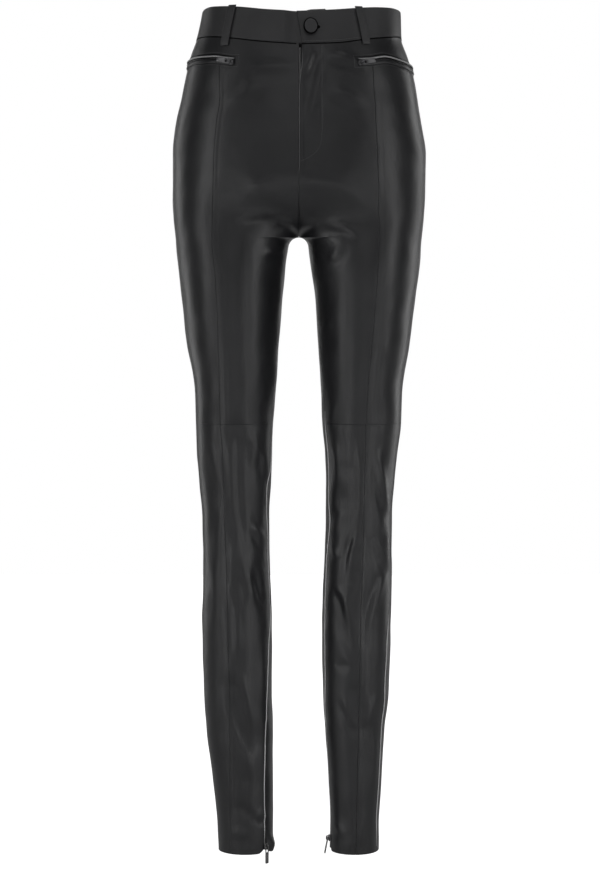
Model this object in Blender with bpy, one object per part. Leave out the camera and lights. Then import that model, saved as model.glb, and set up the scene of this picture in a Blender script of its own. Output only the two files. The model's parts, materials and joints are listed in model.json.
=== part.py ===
"""Black leather leggings, filled out with no wearer, as the pieces a maker cuts, sews and fastens.

Metres, +Z up, front towards -Y, the wearer's left towards +X.  The origin is in the middle of the
waist, half way up the waistband at the sides.  The tables are in millimetres.  "drop" is measured
down from the waist edge at the sides, "x" out from the centre plane.  "t" runs once round one half
of the garment: 0 at the centre front or the inseam, 0.5 at the side, 1 at the centre back.
"""

import math

import bmesh
import bpy
import numpy as np
from mathutils import Matrix

MM = 0.001
SIDES = {"right": -1.0, "left": 1.0}

# Driving sizes
WAIST_EDGE_Z = 18.0          # height of the waist edge at the sides above the origin
CROTCH = 282.0               # drop of the crotch point
KNEE_SEAM = 515.0
HEM = 1065.0
CROTCH_ARCH = 11.0           # radius of the arch between the legs
ARCH_FOCUS = 12              # how closely the arch keeps to the inner side of the leg
GROOVE_FRONT = 85.0          # height over which the front groove deepens to the crotch
GROOVE_BACK = 110.0
GROOVE_REACH = 0.14          # share of the way round over which the groove fades into the thigh
THIGH_BLEND = 42.0           # how far below the crotch the hips' form reaches into the thighs
TORSO_POWER = 2.35           # roundness of the hip sections, 2 is an ellipse
LEG_POWER = 2.1
WALL = 1.3                   # leather of the panels
HALF_SEAM = 0.2              # half the gap between two panels
BAND_WALL = 2.4              # the waistband is folded leather
BAND_LIFT = 0.6              # how far it stands proud of the panels
LAP_STEP = 3.0               # how far the underlap lies behind the overlap
UNDERLAP_X = 33.0
UNDERLAP_RISE = 1.8

TORSO = {
    "columns": ("drop", "half_right", "half_left", "front", "back"),
    "rows": (
        (-20, 118, 124, 79, 82),
        (0, 121, 127, 81, 85),
        (33, 128, 128.5, 88, 92),
        (55, 136, 136, 93, 99),
        (74, 141, 142, 97, 105),
        (104, 147, 148.5, 101, 113),
        (134, 153.8, 153.6, 104, 122),
        (179, 159.2, 159.6, 106, 129),
        (222, 159.2, 159.6, 105, 130),
        (255, 158.4, 157.8, 101, 124),
        (286, 155.8, 154.8, 96, 112),
        (326, 151.5, 151.1, 91, 101),
    ),
}
LEG = {
    "columns": ("drop", "outer_right", "inner_right", "outer_left", "inner_left", "front", "back", "side_y"),
    "rows": (
        (179, 159.2, 11, 159.6, 9.5, 96, 112, 3),
        (222, 159.2, 11, 159.6, 9.5, 94, 110, 3),
        (255, 158.4, 11, 157.8, 9.5, 91, 107, 3),
        (286, 155.8, 12.5, 154.8, 11, 88, 102, 3),
        (313, 153, 16.4, 153, 14, 86, 97, 3),
        (353, 149, 20.2, 148, 20, 82, 90, 2),
        (414, 142, 25.3, 140.5, 24, 74, 78, 0),
        (475, 132, 29.2, 131, 28, 65, 66, -1),
        (515, 130.7, 32.5, 129.5, 29.5, 58, 58, -1),
        (556, 129.5, 34.2, 124.6, 33, 53, 54, 1),
        (597, 126, 35.6, 121, 34.4, 49, 57, 4),
        (638, 123.4, 38, 118.4, 34.4, 46, 62, 7),
        (699, 122.3, 37, 118.6, 32, 43, 66, 10),
        (782, 123.8, 34.5, 117.5, 29.4, 39, 63, 10),
        (864, 121.5, 34.5, 115, 30.7, 36, 54, 8),
        (905, 119, 33.3, 110, 33.3, 35, 50, 6),
        (947, 114, 33.3, 107.6, 36, 34, 47, 5),
        (988, 109, 33.3, 105, 38.5, 33.5, 45, 4),
        (1030, 105, 33.3, 102.7, 39.8, 34, 44, 4),
        (1065, 103.5, 34, 102.7, 39.3, 34.5, 44, 4),
    ),
}
# The waistband's two edges, and the level of the pocket mouths, round the body
LEVELS = {
    "columns": ("t", "top_right", "low_right", "mouth_right", "top_left", "low_left", "mouth_left"),
    "rows": (
        (0, 4.3, 44.6, 67, 4.3, 44.6, 67),
        (0.09, 2, 41.5, 67.4, 2.5, 43.3, 67.6),
        (0.19, -1.7, 37, 65, -0.5, 38.5, 65.6),
        (0.26, -3.2, 34.5, 62, -1.8, 35.8, 62.4),
        (0.34, -3.8, 33.2, 62, -2.3, 33.5, 66),
        (0.42, -2, 33.5, 64, -1, 32.3, 70),
        (0.5, 1, 35, 67, 0.6, 34.3, 74),
        (0.75, 0, 36, 66, 0, 36, 68),
        (1, -2, 35, 66, -2, 35, 66),
    ),
}
# Where the panel seams run: the front seam's x, and how far the two side edges of the front panels
# stop inside the outline seen from the front
SEAMS = {
    "columns": ("drop", "front_right", "front_left", "inseam_in_right", "inseam_in_left",
                "side_in_right", "side_in_left"),
    "rows": (
        (30, 98.5, 91, 0, 0, 0, 0),
        (74, 98.5, 91, 0, 0, 0, 0),
        (109, 97.3, 93, 0, 0, 0, 0),
        (143, 101.5, 94.5, 0, 0, 0, 0),
        (182, 104.5, 96.5, 0, 0, 0, 0),
        (231, 106.2, 98, 0, 0, 0, 0),
        (285, 107.3, 98.5, 0, 0, 0, 0),
        (330, 103.2, 96.8, 0, 0, 1.2, 0.3),
        (371, 101.2, 94, 0, 1, 3.4, 1.4),
        (420, 100, 90, 0, 2, 4.8, 2.4),
        (475, 99, 85.5, 0, 3, 2, 1),
        (509, 98.3, 84, 0, 3.6, 0.6, 0.3),
        (566, 95, 82.5, 2, 3.4, 0, 0),
        (600, 94.2, 81.8, 4.8, 3.2, 0, 0),
        (645, 92.8, 81, 2.2, 4.4, 0, 0),
        (686, 91.8, 80.5, 1.6, 2.8, 0, 0),
        (745, 90.3, 78.4, 1.4, 3.2, 0, 2.4),
        (807, 88.8, 77.2, 4.4, 3.6, 0, 5.8),
        (850, 88, 76.6, 6.2, 2.9, 0, 6),
        (905, 87.5, 75.4, 8, 1.2, 0, 4.8),
        (990, 87.5, 73.6, 9.6, 0.4, 0, 4.4),
        (1065, 87.5, 72.3, 9.2, 0.4, 0, 3),
    ),
}
# The largest folds of the front: a line from one end to the other, its half width and its depth,
# troughs positive
FOLDS = {
    "columns": ("leg", "x_from", "drop_from", "x_to", "drop_to", "half_width", "depth"),
    "rows": (
        ("right", 88, 250, 34, 262, 22, 1.6),
        ("left", 78, 266, 30, 262, 22, 1.6),
        ("right", 77, 520, 76, 620, 10, 1.6),
        ("right", 68, 545, 42, 740, 11, 2.0),
        ("right", 84, 850, 62, 925, 11, 1.8),
        ("left", 62, 575, 62, 665, 12, 1.8),
        ("left", 90, 560, 110, 690, 10, -1.4),
        ("left", 90, 664, 83, 790, 11, 1.6),
        ("left", 70, 855, 74, 900, 10, 1.6),
    ),
}
# Drops of the cross-sections below the pocket mouth; they crowd together round the crotch
ROWS_UPPER = (84, 108, 134, 160, 186, 210, 230, 246, 258, 268, 275.5, 279.8, 281.4, CROTCH,
              283, 286.5, 293, 305, 325, 350, 380, 412, 446, 480, KNEE_SEAM)
ZIP_TOP = 893.0              # drop where the ankle zips begin
ROWS_LOWER = (KNEE_SEAM, 540, 566, 592, 618, 645, 673, 701, 730, 760, 790, 820, 850, 875, 889,
              ZIP_TOP, 922, 951, 980, 1009, 1037, HEM)
COLUMNS = {"front_centre": 6, "front_side": 4, "back": 9, "band": 16}

SLIT = {"top": 44.0, "bottom": 88.0, "width": 3.4}      # the fly's edge stands open at its top
FLY_ZIP = {"top": 48.5, "bottom": 166.0, "from_x": 5.0, "to_x": 8.0, "behind": 1.8, "wall": 1.2}
CHAIN = {"half_width": 2.2, "wall": 1.0, "opening": 2.7, "sunk": 0.1, "slider_lift": 0.6}
POCKET = {"inner_right": 0.172, "inner_left": 0.152, "outer": 0.482, "columns": 12,
          "jet_from": 2.5, "jet_upper": 6.6, "jet_lower": 6.4, "jet_lift": 0.5, "jet_wall": 1.7,
          "slider_clear": 0.5, "slider_below": 2.6, "pull_climb": 0.7}
BELT_LOOPS = {
    "columns": ("side", "x_top", "x_low", "below_band"),
    "rows": (("right", 81.2, 91.2, 11.0), ("left", 72.8, 82.4, 7.0)),
}
LOOP = {"half_width": 4.5, "over_edge": 1.6, "below_band_at_back": 8.0, "wall": 1.6, "lift": 1.2, "bulge": 1.0,
        "rows": 7}
BUTTON = {"x": 14.0, "drop": 24.7, "radius": 10.5, "narrower": 0.87, "rim": 1.4, "thickness": 3.2,
          "shank_radius": 3.0, "shank_height": 2.2, "stand_off": 1.1, "dome": 0.6, "turned_deg": 5.0,
          "steps": 24}
SLIDER = {"width": 6.6, "length": 8.6, "thickness": 1.3, "bevel": 0.35, "arch_width": 1.8,
          "arch_span": 5.6, "arch_bar": 1.0, "arch_room": 2.4}
PULL = {"width": 5.6, "thickness": 1.2, "rim": 1.2, "eye_width": 3.2, "corner": 1.2}
ZIP_PULLS = {
    "columns": ("kind", "side", "slider_drop", "slider_x", "length", "eye", "tilt_deg"),
    "rows": (
        ("pocket", "right", None, 83.0, 17.5, 5.0, 0.0),
        ("pocket", "left", None, 75.4, 17.5, 5.0, 0.0),
        ("ankle", "right", 1056.5, None, 21.5, 6.6, 0.0),
        ("ankle", "left", 1049.5, None, 20.5, 6.6, 10.0),
    ),
}
HEM_CORNER = 5.0             # how far the hem's corners curve up beside the ankle zips

FINISHES = {
    "leather": ((0.022, 0.022, 0.025), 0.38, 0.0),
    "band": ((0.021, 0.021, 0.024), 0.42, 0.0),
    "tape": ((0.012, 0.012, 0.013), 0.85, 0.0),
    "gunmetal": ((0.09, 0.09, 0.1), 0.3, 1.0),
    "button": ((0.016, 0.016, 0.018), 0.55, 0.0),
}


def columns_of(table):
    """A table of named columns as a dictionary of arrays."""
    return {name: np.array([row[k] for row in table["rows"]])
            for k, name in enumerate(table["columns"])}


def curve_through(knots, values, at):
    """Smooth curve through the knots that never overshoots them."""
    knots = knots.astype(float)
    values = values.astype(float)
    steps = np.diff(knots)
    rises = np.diff(values) / steps
    slopes = np.zeros_like(values)
    product = rises[:-1] * rises[1:]
    total = rises[:-1] + rises[1:]
    safe = np.where(product > 0, total, 1.0)
    slopes[1:-1] = np.where(product > 0, 2 * product / safe, 0.0)
    slopes[0] = rises[0]
    slopes[-1] = rises[-1]
    at = np.clip(at, knots[0], knots[-1])
    k = np.clip(np.searchsorted(knots, at, side="right") - 1, 0, len(steps) - 1)
    u = (at - knots[k]) / steps[k]
    ease = u * u * (3 - 2 * u)
    start = u * (1 - u) ** 2 * steps[k] * slopes[k]
    finish = u * u * (u - 1) * steps[k] * slopes[k + 1]
    return values[k] * (1 - ease) + values[k + 1] * ease + start + finish


TORSO_AT = columns_of(TORSO)
LEG_AT = columns_of(LEG)
LEVEL_AT = columns_of(LEVELS)
SEAM_AT = columns_of(SEAMS)


def torso(name, drop):
    return curve_through(TORSO_AT["drop"], TORSO_AT[name], drop)


def leg(name, drop):
    return curve_through(LEG_AT["drop"], LEG_AT[name], drop)


def level(name, t):
    return curve_through(LEVEL_AT["t"], LEVEL_AT[name], t)


def seam(name, drop):
    return curve_through(SEAM_AT["drop"], SEAM_AT[name], drop)


def power(value, exponent):
    return np.sign(value) * np.abs(value) ** exponent


def torso_point(side, drop, t):
    """One half of a rounded hip section: centre front, side, centre back."""
    across = torso("half_" + side, drop) * np.maximum(np.sin(math.pi * t), 0.0) ** (2 / TORSO_POWER)
    along = power(np.cos(math.pi * t), 2 / TORSO_POWER)
    side_y = leg("side_y", drop)
    front = side_y - (torso("front", drop) + side_y) * along
    back = side_y - (torso("back", drop) - side_y) * along
    return across, np.where(t < 0.5, front, back)


def leg_point(side, drop, t):
    """A closed leg section that starts at its inner side and goes round by the front."""
    outer = leg("outer_" + side, drop)
    inner = leg("inner_" + side, drop)
    depth = np.clip((drop - CROTCH) / CROTCH_ARCH, 0.0, 1.0)
    arch = np.sqrt(1 - (1 - depth) ** 2)
    turn = 2 * math.pi * t
    across = (outer + inner) / 2 - (outer - inner) / 2 * power(np.cos(turn), 2 / LEG_POWER)
    across = across - inner * (1 - arch) * ((1 + np.cos(turn)) / 2) ** ARCH_FOCUS
    along = power(np.sin(turn), 2 / LEG_POWER)
    side_y = leg("side_y", drop)
    front = side_y - (leg("front", drop) + side_y) * along
    back = side_y - (leg("back", drop) - side_y) * along
    return across, np.where(along > 0, front, back)


def form(side, drop, t):
    """Point of the filled-out surface in millimetres: hips that part into two legs at the crotch."""
    drop, t = np.broadcast_arrays(np.asarray(drop, float), np.asarray(t, float))
    on_leg = drop >= CROTCH
    t = np.where(on_leg, np.mod(t, 1.0), np.clip(t, 0.0, 1.0))
    from_centre = np.clip(np.minimum(t, 1 - t) / GROOVE_REACH, 0.0, 1.0)
    away = from_centre ** 2 * (3 - 2 * from_centre)
    groove = np.where(t < 0.5, GROOVE_FRONT, GROOVE_BACK)
    below = THIGH_BLEND * away
    s = np.clip((CROTCH + below - drop) / (groove + below), 0.0, 1.0)
    hip = (1 - (1 - s) ** 2) ** (0.5 + 1.5 * away)
    hip_x, hip_y = torso_point(side, drop, t)
    leg_x, leg_y = leg_point(side, drop, t)
    x = hip * hip_x + (1 - hip) * leg_x
    y = hip * hip_y + (1 - hip) * leg_y
    return np.stack([SIDES[side] * x, y, WAIST_EDGE_Z - drop], axis=-1)


def outward(side, drop, t):
    """Unit normals of the form, pointing out of the garment."""
    drop, t = np.broadcast_arrays(np.asarray(drop, float), np.asarray(t, float))
    small = 0.002
    before = np.where(drop < CROTCH, np.clip(t - small, 0.0, 1.0), t - small)
    after = np.where(drop < CROTCH, np.clip(t + small, 0.0, 1.0), t + small)
    round_body = form(side, drop, after) - form(side, drop, before)
    down_body = form(side, drop + 0.4, t) - form(side, drop - 0.4, t)
    normal = np.cross(down_body, round_body) * SIDES[side]
    return normal / np.linalg.norm(normal, axis=-1, keepdims=True)


def t_at_x(side, drop, x):
    """Where the front half of the section lies x millimetres from the centre plane."""
    ts = np.linspace(0.0, 0.5, 401)
    shape = np.broadcast(drop, x).shape
    drops = np.broadcast_to(drop, shape).ravel()
    xs = np.broadcast_to(x, shape).ravel()
    found = [np.interp(one_x, np.abs(form(side, one_drop, ts)[:, 0]), ts)
             for one_drop, one_x in zip(drops, xs)]
    return np.array(found).reshape(shape)


def in_t(side, drop, t, distance):
    """A distance round the body as a step of t."""
    small = 0.004
    before = np.maximum(t - small, 0.0)
    after = np.minimum(t + small, 1.0)
    run = np.linalg.norm(form(side, drop, after) - form(side, drop, before), axis=-1)
    return distance * (after - before) / np.maximum(run, 0.05)


def inseam_t(side, drop):
    """The inseam, or the centre front above the crotch."""
    inner_x = np.abs(form(side, drop, 0.0)[..., 0])
    return t_at_x(side, drop, inner_x + seam("inseam_in_" + side, drop))


def side_t(side, drop):
    outer_x = np.abs(form(side, drop, 0.5)[..., 0])
    return t_at_x(side, drop, outer_x - seam("side_in_" + side, drop))


def front_seam_t(side, drop):
    return t_at_x(side, drop, seam("front_" + side, drop))


def fold_depth(side, points, normals):
    """How deep the folds press in at each point of the front."""
    depth = np.zeros(points.shape[:-1])
    x = np.abs(points[..., 0])
    drop = WAIST_EDGE_Z - points[..., 2]
    for row in FOLDS["rows"]:
        fold = dict(zip(FOLDS["columns"], row))
        if fold["leg"] != side:
            continue
        run_x = fold["x_to"] - fold["x_from"]
        run_drop = fold["drop_to"] - fold["drop_from"]
        share = (x - fold["x_from"]) * run_x + (drop - fold["drop_from"]) * run_drop
        share = np.clip(share / (run_x ** 2 + run_drop ** 2), 0.0, 1.0)
        gap_x = x - fold["x_from"] - share * run_x
        gap_drop = drop - fold["drop_from"] - share * run_drop
        near = np.exp(-(gap_x ** 2 + gap_drop ** 2) / fold["half_width"] ** 2)
        depth += fold["depth"] * near * np.clip(-1.5 * normals[..., 1], 0.0, 1.0)
    return depth


def finish_of(name, kind):
    colour, roughness, metallic = FINISHES[kind]
    material = bpy.data.materials.new(name)
    material.use_nodes = True
    shader = material.node_tree.nodes["Principled BSDF"]
    shader.inputs["Base Color"].default_value = (*colour, 1.0)
    shader.inputs["Roughness"].default_value = roughness
    shader.inputs["Metallic"].default_value = metallic
    return material


def new_object(name, mesh, kind, matrix=None):
    mesh.materials.append(finish_of(name, kind))
    mesh.shade_smooth()
    mesh.set_sharp_from_angle(angle=math.radians(35))
    piece = bpy.data.objects.new(name, mesh)
    if matrix is not None:
        piece.matrix_world = matrix
    bpy.context.scene.collection.objects.link(piece)
    return piece


def wall(name, outer, inner, kind, keep=None):
    """Closed wall between two grids of points; cells outside keep are left out."""
    rows, cols = outer.shape[:2]
    if keep is None:
        keep = np.ones((rows - 1, cols - 1), bool)
    count = rows * cols
    faces = []
    edges = set()
    for i in range(rows - 1):
        for j in range(cols - 1):
            if not keep[i, j]:
                continue
            a = i * cols + j
            corners = (a, a + 1, a + cols + 1, a + cols)
            for tri in ((0, 1, 2), (0, 2, 3)):
                top = [corners[k] for k in tri]
                faces.append(top)
                faces.append([count + k for k in reversed(top)])
                edges.update(zip(top, top[1:] + top[:1]))
    for a, b in sorted(edges):
        if (b, a) not in edges:
            faces.append([b, a, count + a, count + b])
    mesh = bpy.data.meshes.new(name)
    points = np.concatenate([outer.reshape(-1, 3), inner.reshape(-1, 3)]) * MM
    mesh.from_pydata(points.tolist(), [], faces)
    work = bmesh.new()
    work.from_mesh(mesh)
    loose = [v for v in work.verts if not v.link_faces]
    bmesh.ops.delete(work, geom=loose, context="VERTS")
    bmesh.ops.recalc_face_normals(work, faces=work.faces)
    work.to_mesh(mesh)
    work.free()
    return new_object(name, mesh, kind)


def clear_of_centre(side, points):
    """Keep a panel's points on its own side of the centre seam."""
    cleared = points.copy()
    cleared[..., 0] = SIDES[side] * np.maximum(SIDES[side] * points[..., 0], HALF_SEAM)
    return cleared


def cloth(name, side, drops, ts, kind="leather", lift=0.0, thickness=WALL, keep=None, folded=True):
    """A piece that follows the form, raised by lift, as a wall of even thickness."""
    drops, ts = np.broadcast_arrays(np.asarray(drops, float), np.asarray(ts, float))
    outer = form(side, drops, ts)
    normals = outward(side, drops, ts)
    raised = np.asarray(lift, float) - (fold_depth(side, outer, normals) if folded else 0.0)
    outer = outer + normals * raised[..., None]
    inner = outer - normals * thickness
    return wall(name, clear_of_centre(side, outer), clear_of_centre(side, inner), kind, keep)


def spread(starts, ends, count):
    """Evenly spaced columns between two edges, one row for each entry."""
    share = np.linspace(0.0, 1.0, count + 1)
    return starts[:, None] * (1 - share) + ends[:, None] * share


def slit_width(drop):
    """How far the fly's edge stands away from the centre line."""
    share = np.clip((SLIT["bottom"] - drop) / (SLIT["bottom"] - SLIT["top"]), 0.0, 1.0)
    return SLIT["width"] * share


def inseam_half_gap(drop):
    """Half the gap in the inseam: a seam, and the opening of the zip below it."""
    return np.where(drop >= ZIP_TOP, CHAIN["opening"], HALF_SEAM)


def level_rows(side, ts):
    """Drops of the three rows that follow the waistband seam and the pocket mouth."""
    low = level("low_" + side, ts) + 2 * HALF_SEAM
    mouth = level("mouth_" + side, ts)
    return low, (low + mouth) / 2, mouth


def centre_front_t(side, drops):
    open_by = slit_width(drops) if side == "left" else 0.0
    return t_at_x(side, drops, HALF_SEAM + open_by)


def build_front_upper(side):
    """The centre front with the yoke above the pocket, and the side front hanging from the mouth."""
    below = np.array(ROWS_UPPER, float)
    level_drops = np.array([45.0, 56.0, 65.0])
    drops = np.concatenate([level_drops, below])
    seam_ts = front_seam_t(side, drops)
    gap = in_t(side, drops, seam_ts, HALF_SEAM)
    edge = np.where(drops < CROTCH, centre_front_t(side, drops),
                    inseam_t(side, drops) + in_t(side, drops, 0.02, HALF_SEAM))
    sides = side_t(side, drops)
    side_edge = sides - in_t(side, drops, sides, HALF_SEAM)
    centre = spread(edge, seam_ts - gap, COLUMNS["front_centre"])
    beyond = spread(seam_ts + gap, side_edge, COLUMNS["front_side"])
    ts = np.concatenate([centre, beyond[:, 1:]], axis=1)
    grid = np.repeat(drops[:, None], ts.shape[1], axis=1)
    for k, row in enumerate(level_rows(side, ts[:3])):
        grid[k] = row[k]
    grid[-1] -= HALF_SEAM
    keep = np.ones((len(drops) - 1, ts.shape[1] - 1), bool)
    keep[2:, COLUMNS["front_centre"]:] = False
    cloth("front_centre_upper_" + side, side, grid, ts, keep=keep)
    grid_side = np.repeat(drops[2:, None], COLUMNS["front_side"] + 1, axis=1)
    grid_side[0] = level("mouth_" + side, beyond[2]) + 2 * HALF_SEAM
    grid_side[-1] -= HALF_SEAM
    cloth("front_side_upper_" + side, side, grid_side, beyond[2:])


def build_front_lower(side):
    drops = np.array(ROWS_LOWER, float)
    grid_drops = drops.copy()
    grid_drops[0] += HALF_SEAM
    seam_ts = front_seam_t(side, drops)
    gap = in_t(side, drops, seam_ts, HALF_SEAM)
    inner = inseam_t(side, drops)
    inner_edge = inner + in_t(side, drops, inner + 0.01, inseam_half_gap(drops))
    sides = side_t(side, drops)
    side_edge = sides - in_t(side, drops, sides, HALF_SEAM)
    centre = spread(inner_edge, seam_ts - gap, COLUMNS["front_centre"] - 2)
    beyond = spread(seam_ts + gap, side_edge, COLUMNS["front_side"])
    centre_drops = np.repeat(grid_drops[:, None], centre.shape[1], axis=1)
    centre_drops[-1, 0] -= HEM_CORNER
    cloth("front_centre_lower_" + side, side, centre_drops, centre)
    cloth("front_side_lower_" + side, side, grid_drops[:, None], beyond)


def back_columns(side, drops):
    """Columns of the back from the side seam round to the centre back, or to the inseam."""
    sides = side_t(side, drops)
    start = sides + in_t(side, drops, sides, HALF_SEAM)
    inner = np.where(drops < CROTCH, 0.0, inseam_t(side, drops))
    gap = in_t(side, drops, np.where(drops < CROTCH, 0.995, inner), inseam_half_gap(drops))
    centre_back = t_at_x_back(side, drops, HALF_SEAM)
    end = np.where(drops < CROTCH, centre_back, 1.0 + inner - gap)
    return spread(start, end, COLUMNS["back"])


def build_back(side):
    """The back, cut in two at the knee as the front is."""
    drops = np.concatenate([[45.0, 56.0, 65.0], ROWS_UPPER])
    ts = back_columns(side, drops)
    grid = np.repeat(drops[:, None], ts.shape[1], axis=1)
    for k, row in enumerate(level_rows(side, ts[:3])):
        grid[k] = row[k]
    grid[-1] -= HALF_SEAM
    cloth("back_upper_" + side, side, grid, ts, folded=False)
    drops = np.array(ROWS_LOWER, float)
    ts = back_columns(side, drops)
    grid = np.repeat(drops[:, None], ts.shape[1], axis=1)
    grid[0] += HALF_SEAM
    grid[-1, -1] -= HEM_CORNER
    cloth("back_lower_" + side, side, grid, ts, folded=False)


def t_at_x_back(side, drop, x):
    """Where the back half of the section lies x millimetres from the centre plane."""
    ts = np.linspace(0.75, 1.0, 401)
    found = [1.0 if one_drop >= CROTCH else
             np.interp(-x, -np.abs(form(side, one_drop, ts)[:, 0]), ts) for one_drop in drop]
    return np.array(found)


def build_waistband(side):
    """Half of the waistband; the right half goes on behind the left one as the underlap."""
    t_front = t_at_x(side, 20.0, 0.3)
    t_back = 1.0 - (t_at_x(side, 20.0, HALF_SEAM))
    ts = np.linspace(float(t_front), float(t_back), COLUMNS["band"] + 1)
    if side == "left":
        drops = np.stack([level("top_left", ts), level("low_left", ts)])
        cloth("waistband_left", side, subdivide_rows(drops), ts, "band", BAND_LIFT, BAND_WALL, folded=False)
        return
    ts = np.concatenate([[ts[0], 0.04, 0.075], np.linspace(0.12, ts[-1], COLUMNS["band"] - 1)])
    lifts = BAND_LIFT - LAP_STEP * np.clip((0.075 - ts) / 0.035, 0.0, 1.0)
    drops = subdivide_rows(np.stack([level("top_right", ts), level("low_right", ts)]))
    outer, normals = lifted(side, drops, ts[None, :], lifts)
    lap_ts = np.array([float(t_at_x("left", 20.0, x)) for x in (UNDERLAP_X, 22.0, 11.0)])
    lap_drops = np.stack([level("top_left", lap_ts) - UNDERLAP_RISE, level("low_left", lap_ts)])
    lap, lap_normals = lifted("left", subdivide_rows(lap_drops), lap_ts[None, :], BAND_LIFT - LAP_STEP)
    outer = np.concatenate([lap, outer], axis=1)
    normals = np.concatenate([lap_normals, normals], axis=1)
    wall("waistband_right", outer, outer - normals * BAND_WALL, "band")


def subdivide_rows(edges):
    """Three rows from a band's upper and lower edge."""
    return np.stack([edges[0], (edges[0] + edges[1]) / 2, edges[1]])


def lifted(side, drops, ts, lift):
    outer = form(side, drops, ts)
    normals = outward(side, drops, ts)
    raised = np.broadcast_to(np.asarray(lift, float), outer.shape[:-1])
    return outer + normals * raised[..., None], normals


def build_belt_loop(name, side, x_top, x_low, below_band, at_back=False):
    """A folded strip that stands off the band between its two sewn ends."""
    top_t = 1.0 if at_back else float(t_at_x(side, 0.0, x_top))
    low_t = 1.0 if at_back else float(t_at_x(side, 40.0, x_low))
    top = float(level("top_" + side, top_t)) - LOOP["over_edge"]
    low = float(level("low_" + side, low_t)) + below_band
    drops = np.linspace(top, low, LOOP["rows"])
    share = np.linspace(0.0, 1.0, LOOP["rows"])
    lifts = BAND_LIFT + LOOP["wall"] + LOOP["lift"] - 0.6 + LOOP["bulge"] * np.sin(math.pi * share)
    if at_back:
        centre = form(side, drops, 1.0)
        normals = outward(side, drops, 1.0) * [0.0, 1.0, 1.0]
        middle = centre + normals * lifts[:, None]
        outer = np.stack([middle + [dx, 0.0, 0.0] for dx in (-LOOP["half_width"], LOOP["half_width"])], axis=1)
        normals = np.stack([normals, normals], axis=1)
    else:
        xs = x_top + (x_low - x_top) * share
        ts = np.stack([t_at_x(side, drops, xs + away) for away in (-LOOP["half_width"], LOOP["half_width"])],
                      axis=1)
        outer, normals = lifted(side, drops[:, None], ts, lifts[:, None])
    wall(name, outer, outer - normals * LOOP["wall"], "band")


def build_fly_zip():
    """Zip tape with its chain, behind the open edge of the fly."""
    drops = np.linspace(FLY_ZIP["top"], FLY_ZIP["bottom"], 7)
    behind = -(WALL + FLY_ZIP["behind"] - 1.0)
    strips = [lifted("right", drops, t_at_x("right", drops, FLY_ZIP["from_x"]), behind),
              lifted("right", drops, t_at_x("right", drops, 0.0), behind),
              lifted("left", drops, t_at_x("left", drops, FLY_ZIP["to_x"]), behind)]
    outer = np.stack([points for points, _ in strips], axis=1)
    normals = np.stack([normals for _, normals in strips], axis=1)
    wall("fly_zip", outer, outer - normals * FLY_ZIP["wall"], "tape")


def build_ankle_zip(side):
    """Zip tape with its chain between the two edges of the inseam."""
    drops = np.array([d for d in ROWS_LOWER if d >= ZIP_TOP])
    drops[0] += 1.0
    drops[-1] -= HEM_CORNER
    middle = inseam_t(side, drops)
    step = in_t(side, drops, middle + 0.01, CHAIN["half_width"])
    ts = np.stack([middle - step, middle, middle + step], axis=1)
    cloth("ankle_zip_" + side, side, drops[:, None], ts, "tape", -CHAIN["sunk"], CHAIN["wall"], folded=False)


def build_pocket(side):
    """Two jets with the zip between them, raised on the panels."""
    ts = np.linspace(POCKET["inner_" + side], POCKET["outer"], POCKET["columns"] + 1)
    mouth = level("mouth_" + side, ts)
    strips = (
        ("pocket_jet_upper_", -POCKET["jet_upper"], -POCKET["jet_from"], "leather", POCKET["jet_wall"]),
        ("pocket_zip_", -CHAIN["half_width"], CHAIN["half_width"], "tape", CHAIN["wall"]),
        ("pocket_jet_lower_", POCKET["jet_from"], POCKET["jet_lower"], "leather", POCKET["jet_wall"]),
    )
    for name, start, end, kind, thickness in strips:
        drops = np.stack([mouth + start, mouth + end])
        cloth(name + side, side, drops, ts, kind, POCKET["jet_lift"] + thickness, thickness)


def turned(name, profile, steps, kind, matrix):
    """A turned piece: a profile of (radius, height) spun round the Z axis."""
    work = bmesh.new()
    verts = [work.verts.new((r * MM, 0.0, h * MM)) for r, h in profile]
    edges = [work.edges.new(pair) for pair in zip(verts, verts[1:])]
    bmesh.ops.spin(work, geom=verts + edges, axis=(0, 0, 1), cent=(0, 0, 0), angle=2 * math.pi,
                   steps=steps, use_duplicate=False)
    bmesh.ops.remove_doubles(work, verts=work.verts, dist=0.00001)
    bmesh.ops.recalc_face_normals(work, faces=work.faces)
    mesh = bpy.data.meshes.new(name)
    work.to_mesh(mesh)
    work.free()
    return new_object(name, mesh, kind, matrix)


def frame_matrix(origin, z_axis, y_axis):
    """A frame in metres from an origin in millimetres, its outward axis and the way along it."""
    z = np.asarray(z_axis, float) / np.linalg.norm(z_axis)
    y = np.asarray(y_axis, float) - z * np.dot(y_axis, z)
    y = y / np.linalg.norm(y)
    x = np.cross(y, z)
    matrix = Matrix.Identity(4)
    for k in range(3):
        matrix[k][0] = x[k]
        matrix[k][1] = y[k]
        matrix[k][2] = z[k]
        matrix[k][3] = origin[k] * MM
    return matrix


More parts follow.
